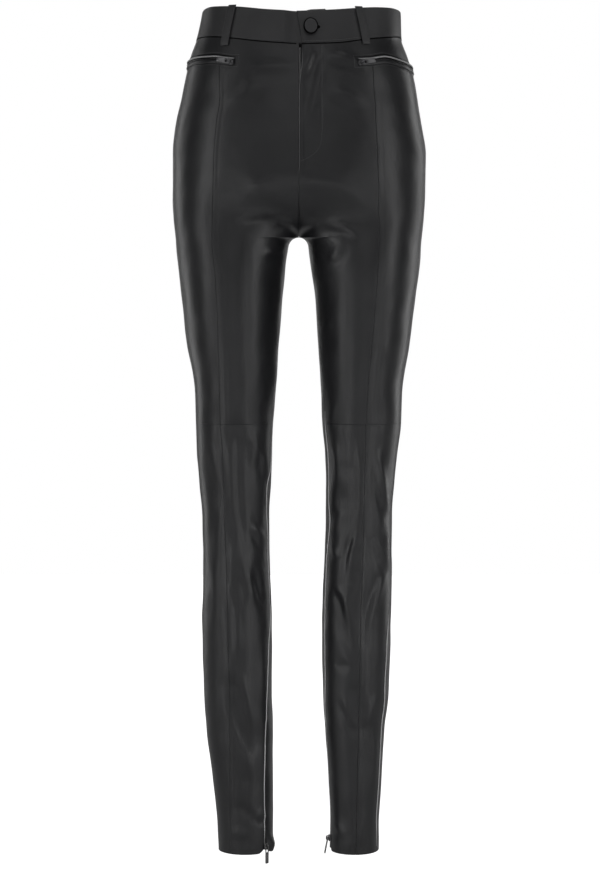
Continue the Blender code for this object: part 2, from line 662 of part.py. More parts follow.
def build_button():
    """A covered, slightly oval button on its shank, turned a little towards the wearer's left."""
    t = float(t_at_x("left", BUTTON["drop"], BUTTON["x"]))
    base, normal = lifted("left", np.array(BUTTON["drop"]), np.array(t), BAND_LIFT + BUTTON["stand_off"])
    shank = BUTTON["shank_height"]
    radius, rim, thick = BUTTON["radius"], BUTTON["rim"], BUTTON["thickness"]
    profile = [(0.0, 0.0), (BUTTON["shank_radius"], 0.0), (BUTTON["shank_radius"], shank)]
    profile += [(radius - rim, shank)]
    profile += [(radius - rim + rim * math.sin(a), shank + thick / 2 - thick / 2 * math.cos(a))
                for a in np.linspace(0.2, math.pi, 6)]
    profile += [(radius * 0.5, shank + thick + BUTTON["dome"] * 0.75), (0.0, shank + thick + BUTTON["dome"])]
    facing = frame_matrix(base, normal, (0.0, 0.0, 1.0))
    turn = Matrix.Rotation(math.radians(BUTTON["turned_deg"]), 4, "Y")
    button = turned("button", profile, BUTTON["steps"], "button", facing @ turn)
    button.data.transform(Matrix.Diagonal((BUTTON["narrower"], 1.0, 1.0, 1.0)))


def box(work, low, high):
    """A box between two corners, in millimetres."""
    corners = [((low, high)[i][0], (low, high)[j][1], (low, high)[k][2])
               for k in (0, 1) for j in (0, 1) for i in (0, 1)]
    verts = [work.verts.new([c * MM for c in corner]) for corner in corners]
    for loop in ((0, 2, 3, 1), (4, 5, 7, 6), (0, 1, 5, 4), (1, 3, 7, 5), (3, 2, 6, 7), (2, 0, 4, 6)):
        work.faces.new([verts[k] for k in loop])


def build_slider(name, matrix):
    """Slider body with the arch that holds the pull; the hinge lies at the frame's origin."""
    hinge = SLIDER["arch_room"] / 2
    work = bmesh.new()
    half_width, half_length = SLIDER["width"] / 2, SLIDER["length"] / 2
    box(work, (-half_width, -half_length, -hinge - SLIDER["thickness"]), (half_width, half_length, -hinge))
    bmesh.ops.bevel(work, geom=list(work.edges), offset=SLIDER["bevel"] * MM, segments=1,
                    affect="EDGES", profile=0.5)
    mesh = bpy.data.meshes.new(name)
    work.to_mesh(mesh)
    work.free()
    body = new_object(name, mesh, "gunmetal", matrix)
    half, bar, reach = SLIDER["arch_width"] / 2, SLIDER["arch_bar"], SLIDER["arch_span"] / 2
    work = bmesh.new()
    foot = -hinge - SLIDER["thickness"] / 2
    outline = [(-reach, foot), (-reach, hinge), (-reach + bar, hinge + bar), (reach - bar, hinge + bar),
               (reach, hinge), (reach, foot), (reach - bar, foot), (reach - bar, hinge),
               (bar - reach, hinge), (bar - reach, foot)]
    verts = [work.verts.new((-half * MM, y * MM, z * MM)) for y, z in outline]
    face = work.faces.new(verts)
    grown = bmesh.ops.extrude_face_region(work, geom=[face])
    moved = [v for v in grown["geom"] if isinstance(v, bmesh.types.BMVert)]
    bmesh.ops.translate(work, verts=moved, vec=(2 * half * MM, 0, 0))
    bmesh.ops.recalc_face_normals(work, faces=work.faces)
    mesh = bpy.data.meshes.new(name + "_arch")
    work.to_mesh(mesh)
    work.free()
    arch = bpy.data.objects.new(name + "_arch", mesh)
    arch.matrix_world = matrix
    arch.hide_render = True
    arch.display_type = "WIRE"
    bpy.context.scene.collection.objects.link(arch)
    union = body.modifiers.new("arch", "BOOLEAN")
    union.operation = "UNION"
    union.object = arch


def rounded_rectangle(width, low, high, radius, steps=4):
    """Points of a rounded rectangle, counter-clockwise from its right side."""
    centres = ((1, 1, 0.0), (-1, 1, 90.0), (-1, -1, 180.0), (1, -1, 270.0))
    points = []
    for sx, sy, start in centres:
        cx = sx * (width / 2 - radius)
        cy = (high - radius) if sy > 0 else (low + radius)
        for k in range(steps):
            angle = math.radians(start + 90.0 * k / (steps - 1))
            points.append((cx + radius * math.cos(angle), cy + radius * math.sin(angle)))
    return points


def build_pull(name, matrix, length, eye_length):
    """Flat pull tab whose rim turns in the slider's arch; the hinge is along X at the origin."""
    half = PULL["rim"] / 2
    outline = rounded_rectangle(PULL["width"], -length, half, PULL["corner"])
    eye = rounded_rectangle(PULL["eye_width"], -half - eye_length, -half, PULL["corner"] * 0.8)
    count = len(outline)
    z = PULL["thickness"] / 2
    points = [(x * MM, y * MM, h * MM) for h in (-z, z) for loop in (outline, eye) for x, y in loop]
    faces = []
    for k in range(count):
        n = (k + 1) % count
        low_out, low_in, high_out, high_in = 0, count, 2 * count, 3 * count
        faces.append((low_out + n, low_out + k, low_in + k, low_in + n))
        faces.append((high_out + k, high_out + n, high_in + n, high_in + k))
        faces.append((low_out + k, low_out + n, high_out + n, high_out + k))
        faces.append((low_in + n, low_in + k, high_in + k, high_in + n))
    mesh = bpy.data.meshes.new(name)
    mesh.from_pydata(points, [], faces)
    new_object(name, mesh, "gunmetal", matrix)


def zip_frame(pull):
    """Where a slider sits: its hinge, the outward axis, and the way the pull points as -Y."""
    side = pull["side"]
    body_rise = SLIDER["thickness"] + SLIDER["arch_room"] / 2
    if pull["kind"] == "pocket":
        t = float(t_at_x(side, level("mouth_" + side, 0.2), pull["slider_x"]))
        drop = float(level("mouth_" + side, t)) + POCKET["slider_below"]
        rise = POCKET["jet_lift"] + POCKET["jet_wall"] + POCKET["slider_clear"] + body_rise
        origin, normal = lifted(side, np.array(drop), np.array(t), rise)
        beyond = t + 0.02
        climbed = level("mouth_" + side, beyond) + POCKET["slider_below"] - POCKET["pull_climb"]
        ahead = form(side, climbed, beyond) - form(side, drop, t)
        return frame_matrix(origin, normal, -ahead)
    drop = np.array([pull["slider_drop"]])
    origin, normal = lifted(side, drop, inseam_t(side, drop), CHAIN["slider_lift"] + body_rise)
    return frame_matrix(origin[0], normal[0], (0.0, 0.0, 1.0))


def build_zip_hardware():
    for row in ZIP_PULLS["rows"]:
        pull = dict(zip(ZIP_PULLS["columns"], row))
        matrix = zip_frame(pull)
        tilt = Matrix.Rotation(math.radians(-pull["tilt_deg"]), 4, "X")
        build_slider(pull["kind"] + "_slider_" + pull["side"], matrix)
        build_pull(pull["kind"] + "_pull_" + pull["side"], matrix @ tilt, pull["length"], pull["eye"])


def main():
    for old in list(bpy.data.objects):
        bpy.data.objects.remove(old)
    for side in SIDES:
        build_front_upper(side)
        build_front_lower(side)
        build_back(side)
        build_waistband(side)
        build_pocket(side)
        build_ankle_zip(side)
    for row in BELT_LOOPS["rows"]:
        loop = dict(zip(BELT_LOOPS["columns"], row))
        build_belt_loop("belt_loop_" + loop["side"], loop["side"], loop["x_top"], loop["x_low"],
                        loop["below_band"])
    build_belt_loop("belt_loop_back", "left", 0.0, 0.0, LOOP["below_band_at_back"], at_back=True)
    build_fly_zip()
    build_button()
    build_zip_hardware()


main()
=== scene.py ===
"""Black leather leggings, filled out with no wearer: every visible piece, its finish, and the studio.

Metres outside, millimetres in the tables and in the geometry below, +Z up, the front towards -Y, the
wearer's left towards +X.  "drop" is measured down from the waist edge at the sides, "x" out from the
centre plane.  "t" runs once round one half of the garment: 0 at the centre front or the inseam, 0.5 at
the side, 1 at the centre back.
"""

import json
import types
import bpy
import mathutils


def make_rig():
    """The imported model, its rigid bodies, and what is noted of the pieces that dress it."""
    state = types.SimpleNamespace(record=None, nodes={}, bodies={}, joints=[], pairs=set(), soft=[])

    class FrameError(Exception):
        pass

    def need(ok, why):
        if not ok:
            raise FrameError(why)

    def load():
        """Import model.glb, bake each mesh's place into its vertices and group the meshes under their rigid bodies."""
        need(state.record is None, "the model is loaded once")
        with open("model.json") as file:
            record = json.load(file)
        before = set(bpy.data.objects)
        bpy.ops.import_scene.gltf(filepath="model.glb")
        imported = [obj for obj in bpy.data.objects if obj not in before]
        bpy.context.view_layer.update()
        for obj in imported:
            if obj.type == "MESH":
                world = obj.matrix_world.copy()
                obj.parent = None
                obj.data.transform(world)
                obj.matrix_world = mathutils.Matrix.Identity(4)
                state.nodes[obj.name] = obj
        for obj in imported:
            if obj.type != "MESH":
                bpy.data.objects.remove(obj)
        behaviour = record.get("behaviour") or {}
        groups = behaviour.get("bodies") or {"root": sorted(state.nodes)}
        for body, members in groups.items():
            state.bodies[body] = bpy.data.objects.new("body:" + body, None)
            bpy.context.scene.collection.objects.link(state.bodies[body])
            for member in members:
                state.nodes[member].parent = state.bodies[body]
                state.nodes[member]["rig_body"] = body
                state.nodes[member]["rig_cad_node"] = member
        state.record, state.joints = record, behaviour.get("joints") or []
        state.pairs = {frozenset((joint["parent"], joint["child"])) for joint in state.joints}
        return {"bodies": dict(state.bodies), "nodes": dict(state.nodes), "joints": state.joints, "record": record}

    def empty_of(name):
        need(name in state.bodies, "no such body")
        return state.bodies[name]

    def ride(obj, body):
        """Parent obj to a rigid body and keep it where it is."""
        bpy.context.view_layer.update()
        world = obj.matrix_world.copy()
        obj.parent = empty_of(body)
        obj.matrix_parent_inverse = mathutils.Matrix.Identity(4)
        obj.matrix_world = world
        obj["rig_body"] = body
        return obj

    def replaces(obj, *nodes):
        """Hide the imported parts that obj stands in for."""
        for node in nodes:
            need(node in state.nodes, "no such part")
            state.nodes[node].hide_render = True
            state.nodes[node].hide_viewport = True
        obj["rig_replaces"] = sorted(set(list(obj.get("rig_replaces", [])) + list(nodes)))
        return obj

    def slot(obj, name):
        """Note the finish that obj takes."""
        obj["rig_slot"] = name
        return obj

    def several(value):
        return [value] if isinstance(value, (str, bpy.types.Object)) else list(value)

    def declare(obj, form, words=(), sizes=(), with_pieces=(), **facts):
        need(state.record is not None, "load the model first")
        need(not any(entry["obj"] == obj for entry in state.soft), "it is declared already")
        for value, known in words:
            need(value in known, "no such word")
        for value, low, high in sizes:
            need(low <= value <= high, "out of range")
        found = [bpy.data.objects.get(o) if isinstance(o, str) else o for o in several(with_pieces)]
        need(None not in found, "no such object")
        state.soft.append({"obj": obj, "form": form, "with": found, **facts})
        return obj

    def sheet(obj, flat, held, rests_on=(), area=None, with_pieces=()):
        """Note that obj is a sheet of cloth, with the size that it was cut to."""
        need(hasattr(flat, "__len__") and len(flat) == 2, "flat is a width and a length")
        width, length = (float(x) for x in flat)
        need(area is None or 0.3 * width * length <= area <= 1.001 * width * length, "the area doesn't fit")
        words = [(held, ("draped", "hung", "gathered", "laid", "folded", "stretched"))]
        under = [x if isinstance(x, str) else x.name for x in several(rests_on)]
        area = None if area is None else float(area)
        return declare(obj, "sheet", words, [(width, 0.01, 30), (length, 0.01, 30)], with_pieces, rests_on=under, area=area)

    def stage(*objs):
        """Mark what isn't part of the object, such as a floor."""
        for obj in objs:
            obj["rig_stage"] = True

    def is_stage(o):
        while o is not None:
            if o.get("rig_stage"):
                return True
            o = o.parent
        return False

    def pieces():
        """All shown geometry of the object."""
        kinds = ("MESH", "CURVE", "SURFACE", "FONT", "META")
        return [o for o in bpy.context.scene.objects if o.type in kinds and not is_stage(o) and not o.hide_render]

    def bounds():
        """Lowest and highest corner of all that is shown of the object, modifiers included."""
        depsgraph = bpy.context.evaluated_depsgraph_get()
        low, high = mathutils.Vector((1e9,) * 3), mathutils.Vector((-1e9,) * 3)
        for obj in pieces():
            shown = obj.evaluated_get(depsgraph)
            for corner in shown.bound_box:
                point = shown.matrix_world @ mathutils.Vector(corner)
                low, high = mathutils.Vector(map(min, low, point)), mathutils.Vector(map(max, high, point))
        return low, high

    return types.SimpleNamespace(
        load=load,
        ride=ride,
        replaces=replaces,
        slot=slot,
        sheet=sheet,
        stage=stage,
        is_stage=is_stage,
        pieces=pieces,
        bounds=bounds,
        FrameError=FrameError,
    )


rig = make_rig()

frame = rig.load()
CAD_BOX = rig.bounds()

import itertools
import json
import logging
import math
from dataclasses import dataclass
from enum import Enum
from typing import Callable, Sequence

import bpy
import numpy as np
from mathutils import Matrix, Vector

Array = np.ndarray
Thing = bpy.types.Object
Tree = bpy.types.NodeTree
Node = bpy.types.Node
Socket = bpy.types.NodeSocket
LOG = logging.getLogger("leggings")
MM = 0.001

WAIST_EDGE_Z = 18.0          # height of the waist edge at the sides above the origin
CROTCH = 282.0               # drop of the crotch point
KNEE_SEAM = 515.0            # drops of the knee seam and the hem
HEM = 1065.0
CROTCH_ARCH = 11.0           # radius of the arch between the legs
ARCH_FOCUS = 12              # how closely the arch keeps to the inner side of the leg
GROOVE_FRONT = 85.0          # height over which the front groove deepens to the crotch
GROOVE_BACK = 110.0          # the same at the back
GROOVE_REACH = 0.14          # share of the way round over which the groove fades into the thigh
THIGH_BLEND = 42.0           # how far below the crotch the hips' form reaches into the thighs
TORSO_POWER = 2.35           # roundness of the hip sections, 2 is an ellipse
LEG_POWER = 2.1              # the same for the leg sections
WALL = 1.3                   # leather of the panels
HALF_SEAM = 0.05             # half the gap between two panels
SECTION_POINTS = 401         # how many points are read on half a section
BAND_WALL = 2.4              # the waistband is folded leather
BAND_LIFT = 0.6              # how far it stands proud of the panels
LAP_STEP = 3.0               # how far the underlap lies behind the overlap
UNDERLAP_X = 33.0            # where the underlap ends, and how far it rises above the band there
UNDERLAP_RISE = 1.8
ZIP_TOP = 893.0              # drop where the ankle zips begin
SLIT_TOP = 44.0              # drop where the fly's edge stands open the most, and by how much
SLIT_WIDTH = 3.4
HEM_CORNER = 5.0             # how far the hem's corners curve up beside the ankle zips

TORSO = {
    "columns": ("drop", "half_right", "half_left", "front", "back"),
    "rows": (
        (-20, 118, 124, 79, 82),
        (0, 121, 127, 81, 85),
        (33, 128, 128.5, 88, 92),
        (55, 136, 136, 93, 99),
        (74, 141, 142, 97, 105),
        (104, 147, 148.5, 101, 113),
        (134, 153.8, 153.6, 104, 122),
        (179, 159.2, 159.6, 106, 129),
        (222, 159.2, 159.6, 105, 130),
        (255, 158.4, 157.8, 101, 124),
        (286, 155.8, 154.8, 96, 112),
        (326, 151.5, 151.1, 91, 101),
    ),
}
LEG = {
    "columns": ("drop", "outer_right", "inner_right", "outer_left", "inner_left", "front", "back", "side_y"),
    "rows": (
        (179, 159.2, 11, 159.6, 9.5, 96, 112, 3),
        (222, 159.2, 11, 159.6, 9.5, 94, 110, 3),
        (255, 158.4, 11, 157.8, 9.5, 91, 107, 3),
        (286, 155.8, 12.5, 154.8, 11, 88, 102, 3),
        (313, 153, 16.4, 153, 14, 86, 97, 3),
        (353, 149, 20.2, 148, 20, 82, 90, 2),
        (414, 142, 25.3, 140.5, 24, 74, 78, 0),
        (475, 132, 29.2, 131, 28, 65, 66, -1),
        (515, 130.7, 32.5, 129.5, 29.5, 58, 58, -1),
        (556, 129.5, 34.2, 124.6, 33, 53, 54, 1),
        (597, 126, 35.6, 121, 34.4, 49, 57, 4),
        (638, 123.4, 38, 118.4, 34.4, 46, 62, 7),
        (699, 122.3, 37, 118.6, 32, 43, 66, 10),
        (782, 123.8, 34.5, 117.5, 29.4, 39, 63, 10),
        (864, 121.5, 34.5, 115, 30.7, 36, 54, 8),
        (905, 119, 33.3, 110, 33.3, 35, 50, 6),
        (947, 114, 33.3, 107.6, 36, 34, 47, 5),
        (988, 109, 33.3, 105, 38.5, 33.5, 45, 4),
        (1030, 105, 33.3, 102.7, 39.8, 34, 44, 4),
        (1065, 103.5, 34, 102.7, 39.3, 34.5, 44, 4),
    ),
}
# The waistband's two edges, and the level of the pocket mouths, round the body
LEVELS = {
    "columns": ("t", "top_right", "low_right", "mouth_right", "top_left", "low_left", "mouth_left"),
    "rows": (
        (0, 4.3, 44.6, 67, 4.3, 44.6, 67),
        (0.09, 2, 41.5, 67.4, 2.5, 43.3, 67.6),
        (0.19, -1.7, 37, 65, -0.5, 38.5, 65.6),
        (0.26, -3.2, 34.5, 62, -1.8, 35.8, 62.4),
        (0.34, -3.8, 33.2, 62, -2.3, 33.5, 66),
        (0.42, -2, 33.5, 64, -1, 32.3, 70),
        (0.5, 1, 35, 67, 0.6, 34.3, 74),
        (0.75, 0, 36, 66, 0, 36, 68),
        (1, -2, 35, 66, -2, 35, 66),
    ),
}
# Where the panel seams run: the front seam's x, and how far the two side edges of the front panels
# stop inside the outline seen from the front
SEAMS = {
    "columns": ("drop", "front_right", "front_left", "inseam_in_right", "inseam_in_left",
                "side_in_right", "side_in_left"),
    "rows": (
        (30, 98.5, 91, 0, 0, 0, 0),
        (74, 98.5, 91, 0, 0, 0, 0),
        (109, 97.3, 93, 0, 0, 0, 0),
        (143, 101.5, 94.5, 0, 0, 0, 0),
        (182, 104.5, 96.5, 0, 0, 0, 0),
        (231, 106.2, 98, 0, 0, 0, 0),
        (285, 107.3, 98.5, 0, 0, 0, 0),
        (330, 103.2, 96.8, 0, 0, 1.2, 0.3),
        (371, 101.2, 94, 0, 1, 3.4, 1.4),
        (420, 100, 90, 0, 2, 4.8, 2.4),
        (475, 99, 85.5, 0, 3, 2, 1),
        (509, 98.3, 84, 0, 3.6, 0.6, 0.3),
        (566, 95, 82.5, 2, 3.4, 0, 0),
        (600, 94.2, 81.8, 4.8, 3.2, 0, 0),
        (645, 92.8, 81, 2.2, 4.4, 0, 0),
        (686, 91.8, 80.5, 1.6, 2.8, 0, 0),
        (745, 90.3, 78.4, 1.4, 3.2, 0, 2.4),
        (807, 88.8, 77.2, 4.4, 3.6, 0, 5.8),
        (850, 88, 76.6, 6.2, 2.9, 0, 6),
        (905, 87.5, 75.4, 8, 1.2, 0, 4.8),
        (990, 87.5, 73.6, 9.6, 0.4, 0, 4.4),
        (1065, 87.5, 72.3, 9.2, 0.4, 0, 3),
    ),
}
# The largest folds of the front: a line from one end to the other, its half width and its depth,
# troughs positive
FOLDS = {
    "columns": ("x_from", "drop_from", "x_to", "drop_to", "half_width", "depth"),
    "right": (
        (88, 250, 34, 262, 22, 1.6), (77, 520, 76, 620, 10, 1.6), (68, 545, 42, 740, 11, 2.0),
        (84, 850, 62, 925, 11, 1.8),
    ),
    "left": (
        (78, 266, 30, 262, 22, 1.6), (62, 575, 62, 665, 12, 1.8), (90, 560, 110, 690, 10, -1.4),
        (90, 664, 83, 790, 11, 1.6), (70, 855, 74, 900, 10, 1.6),
    ),
}
STROKE_WIDTH = (3.2, 0.75)     # a fold's half width: the first plus the second times the table's
FRONT_DEPTH = 1.2              # the front folds' height and depth, as a share of the table's

# Front folds as the light shows them: a curve from one end to the other near its middle point, with a
# ridge on the left of the way it runs, seen from the front, and a trough on the right
STROKES = {
    "columns": ("x_from", "drop_from", "x_mid", "drop_mid", "x_to", "drop_to", "half_width",
                "ridge", "trough"),
    "right": (
        (85, 269, 45, 257, 10, 265, 7, 1.6, 1.4), (36, 271, 15, 267, 2, 283, 4, 1.8, 1.2),
        (45, 306, 28, 302, 12, 302, 4, 1.6, 1.0), (82, 202, 45, 231, 4, 253, 14, 1.6, 0.0),
        (65, 82, 33, 78, 2, 80, 8, 1.2, 0.7), (94, 126, 65, 112, 45, 92, 10, 1.3, 0.6),
        (91, 518, 87, 583, 82, 648, 5, 1.4, 0.6), (82, 648, 88, 694, 86, 724, 4, 1.2, 0.4),
        (86, 724, 82, 775, 83, 823, 4, 1.1, 0.8), (83, 823, 72, 860, 58, 915, 5, 1.3, 1.0),
        (72, 518, 74, 585, 72, 646, 4, 1.0, 1.2), (68, 543, 67, 636, 54, 694, 6, 0.2, 1.8),
        (54, 686, 47, 724, 36, 750, 5, 0.4, 1.6), (61, 518, 59, 548, 60, 573, 5, 1.2, 0.2),
        (49, 543, 44, 570, 39, 598, 5, 2.2, 1.2), (62, 643, 53, 656, 44, 671, 4, 2.0, 0.8),
        (85, 851, 74, 892, 59, 930, 6, 0.0, 1.6), (50, 788, 50, 839, 50, 885, 6, 1.2, 0.0),
        (117, 550, 107, 573, 99, 636, 9, 1.2, 0.4), (97, 608, 104, 648, 109, 712, 8, 1.0, 0.4),
        (117, 686, 109, 737, 115, 788, 8, 0.9, 0.6), (74, 702, 65, 724, 67, 752, 6, 0.8, 0.8),
        (77, 930, 67, 951, 59, 979, 7, 0.4, 1.2), (85, 930, 77, 954, 70, 974, 8, 0.9, 0.4),
        (77, 992, 62, 1007, 47, 1020, 7, 0.2, 1.1), (90, 1033, 75, 1043, 57, 1038, 8, 0.8, 0.2),
        (59, 1025, 47, 1020, 39, 1030, 6, 0.8, 0.9), (16, 329, 22, 359, 18, 381, 7, 0.6, 1.4),
        (33, 391, 26, 409, 21, 424, 6, 1.2, 0.8), (36, 434, 31, 458, 29, 483, 6, 1.2, 1.0),
        (41, 483, 34, 498, 30, 522, 6, 0.8, 1.0),
    ),
    "left": (
        (0, 283, 9, 271, 23, 271, 5, 1.9, 1.2), (23, 271, 50, 273, 77, 284, 6, 1.5, 1.3),
        (1, 231, 38, 224, 77, 243, 14, 1.4, 0.0), (31, 62, 60, 68, 84, 80, 5, 1.8, 1.0),
        (36, 108, 58, 113, 82, 128, 7, 1.5, 0.8), (6, 92, 15, 68, 22, 50, 6, 1.9, 1.5),
        (24, 66, 17, 104, 6, 140, 5, 1.4, 0.6), (33, 312, 48, 307, 58, 285, 6, 1.2, 1.0),
        (22, 329, 28, 346, 23, 366, 7, 0.5, 1.4), (38, 381, 28, 391, 24, 409, 6, 1.2, 0.8),
        (41, 483, 34, 508, 33, 535, 6, 1.0, 1.0), (73, 518, 73, 585, 73, 646, 5, 1.4, 0.4),
        (73, 646, 64, 674, 59, 717, 4, 1.5, 1.4), (59, 717, 57, 745, 68, 788, 5, 1.2, 0.6),
        (60, 583, 59, 623, 57, 669, 12, 0.0, 1.8), (91, 656, 102, 681, 108, 704, 4, 1.2, 1.0),
        (108, 704, 97, 729, 84, 780, 4, 1.1, 1.0), (94, 543, 103, 598, 112, 641, 5, 1.8, 1.4),
        (112, 641, 109, 676, 115, 717, 4, 1.6, 0.8), (36, 535, 44, 563, 41, 611, 5, 1.4, 0.4),
        (49, 621, 44, 638, 39, 656, 5, 1.2, 0.8), (36, 669, 42, 681, 47, 689, 4, 1.2, 0.8),
        (42, 724, 52, 737, 59, 770, 4, 1.0, 1.0), (49, 742, 62, 783, 74, 808, 8, 0.2, 1.4),
        (52, 859, 64, 890, 75, 915, 5, 0.2, 1.3), (49, 854, 59, 887, 70, 913, 5, 0.9, 0.2),
        (92, 859, 87, 879, 80, 902, 5, 0.9, 0.4), (67, 818, 59, 828, 52, 834, 9, 0.0, 1.2),
        (87, 902, 92, 941, 87, 992, 6, 1.0, 0.4), (39, 1028, 47, 1036, 49, 1046, 6, 0.9, 0.8),
        (60, 992, 65, 1030, 65, 1059, 6, 0.8, 0.6), (80, 992, 75, 1030, 74, 1056, 5, 0.9, 0.6),
        (82, 686, 74, 712, 67, 737, 8, 0.7, 0.4),
    ),
}
# The same for the back, where x runs out from the centre back: under the seat, behind the knee, calf, ankle
BACK_STROKES = {
    "columns": STROKES["columns"],
    "right": (
        (18, 300, 62, 318, 112, 306, 10, 1.6, 1.4), (24, 322, 60, 338, 98, 332, 9, 1.0, 1.0),
        (6, 210, 40, 246, 78, 262, 16, 1.2, 0.6), (40, 482, 74, 502, 112, 508, 11, 1.1, 0.9),
        (110, 534, 76, 522, 42, 536, 11, 1.0, 0.8), (46, 574, 78, 554, 108, 548, 12, 0.8, 0.7),
        (50, 616, 80, 598, 106, 574, 13, 0.6, 0.5), (60, 640, 72, 700, 64, 770, 10, 0.9, 0.8),
        (98, 660, 104, 720, 96, 780, 10, 0.9, 0.6), (50, 858, 74, 880, 100, 888, 10, 0.8, 0.7),
        (96, 930, 74, 912, 50, 922, 10, 0.8, 0.6), (50, 956, 70, 974, 92, 982, 9, 0.8, 0.6),
        (48, 1008, 72, 1000, 94, 1012, 6, 0.9, 0.8),
    ),
    "left": (
        (16, 302, 58, 322, 110, 310, 10, 1.5, 1.4), (26, 330, 64, 342, 96, 330, 9, 1.0, 0.9),
        (8, 214, 42, 240, 80, 268, 16, 1.1, 0.7), (110, 486, 72, 500, 40, 510, 11, 1.1, 0.9),
        (40, 536, 74, 526, 106, 540, 11, 0.9, 0.8), (104, 580, 74, 560, 44, 552, 12, 0.8, 0.7),
        (102, 622, 76, 602, 48, 584, 13, 0.6, 0.5), (58, 650, 68, 706, 62, 764, 10, 0.9, 0.8),
        (94, 650, 100, 712, 94, 790, 10, 0.8, 0.7), (96, 862, 72, 882, 50, 892, 10, 0.8, 0.7),
        (50, 930, 74, 914, 94, 920, 10, 0.8, 0.6), (90, 954, 72, 966, 52, 980, 9, 0.7, 0.6),
        (48, 1002, 70, 1012, 94, 1004, 6, 0.9, 0.8),
    ),
}
# The seam allowance pressed to one side of the front seam shows as a second line; "away" is how far it
# lies from the seam, outward positive
ALLOWANCE = {
    "columns": ("drop", "away_right", "away_left"),
    "rows": ((84, -3.6, 3.4), (250, -4.4, 4.4), (330, -6.0, 6.0), (420, -8.4, 9.0), (560, -7.5, 8.5),
             (700, -6.0, 5.0), (1065, -5.0, 3.6)),
}


class Side(Enum):
    """The wearer's sides."""

    RIGHT = "right"
    LEFT = "left"

    @property
    def sign(self) -> float:
        """Which way x runs from the centre plane."""
        return -1.0 if self is Side.RIGHT else 1.0


def rows_of(table: dict, part: str = "rows") -> list[dict]:
    """A table of named columns as one dictionary for each row."""
    return [dict(zip(table["columns"], row)) for row in table[part]]


def curve_through(knots: Array, values: Array, at: Array) -> Array:
    """Smooth curve through the knots that never overshoots them.

    Args:
        knots: where the values are given, rising.
        values: the value at each knot.
        at: where the curve is read.

    Returns:
        The curve's values, in the shape of at.
    """
    steps = np.diff(knots)
    rises = np.diff(values) / steps
    slopes = np.zeros_like(values)
    product = rises[:-1] * rises[1:]
    total = rises[:-1] + rises[1:]
    slopes[1:-1] = np.where(product > 0, 2 * product / np.where(product > 0, total, 1.0), 0.0)
    slopes[0] = rises[0]
    slopes[-1] = rises[-1]
    at = np.clip(at, knots[0], knots[-1])
    k = np.clip(np.searchsorted(knots, at, side="right") - 1, 0, len(steps) - 1)
    u = (at - knots[k]) / steps[k]
    ease = u * u * (3 - 2 * u)
    start = u * (1 - u) ** 2 * steps[k] * slopes[k]
    finish = u * u * (u - 1) * steps[k] * slopes[k + 1]
    return values[k] * (1 - ease) + values[k + 1] * ease + start + finish


def power(value: Array, exponent: float) -> Array:
    """A power that keeps the sign."""
    return np.sign(value) * np.abs(value) ** exponent


def smooth(value: Array) -> Array:
    """Smooth step from 0 to 1."""
    share = np.clip(value, 0.0, 1.0)
    return share * share * (3 - 2 * share)


def bump(distance: Array, half_width: float) -> Array:
    """Soft hump of height 1: exp(-(distance / half_width) ** 2)."""
    return np.exp(-(distance / half_width) ** 2)


def unit(vectors: Array) -> Array:
    """Vectors of length 1 along the last axis."""
    return vectors / np.maximum(np.linalg.norm(vectors, axis=-1, keepdims=True), 1e-12)


def row_by_row(wanted: Array, knots: Array, values: Array) -> Array:
    """Linear reading of each row's own curve, with one call for each row."""
    return np.stack([np.interp(w, k, v) for w, k, v in zip(wanted, knots, values)])


def read(table: dict, name: str, at: Array) -> Array:
    """A column of a table, as a smooth curve over its first column."""
    rows = np.array(table["rows"], float)
    return curve_through(rows[:, 0], rows[:, table["columns"].index(name)], at)


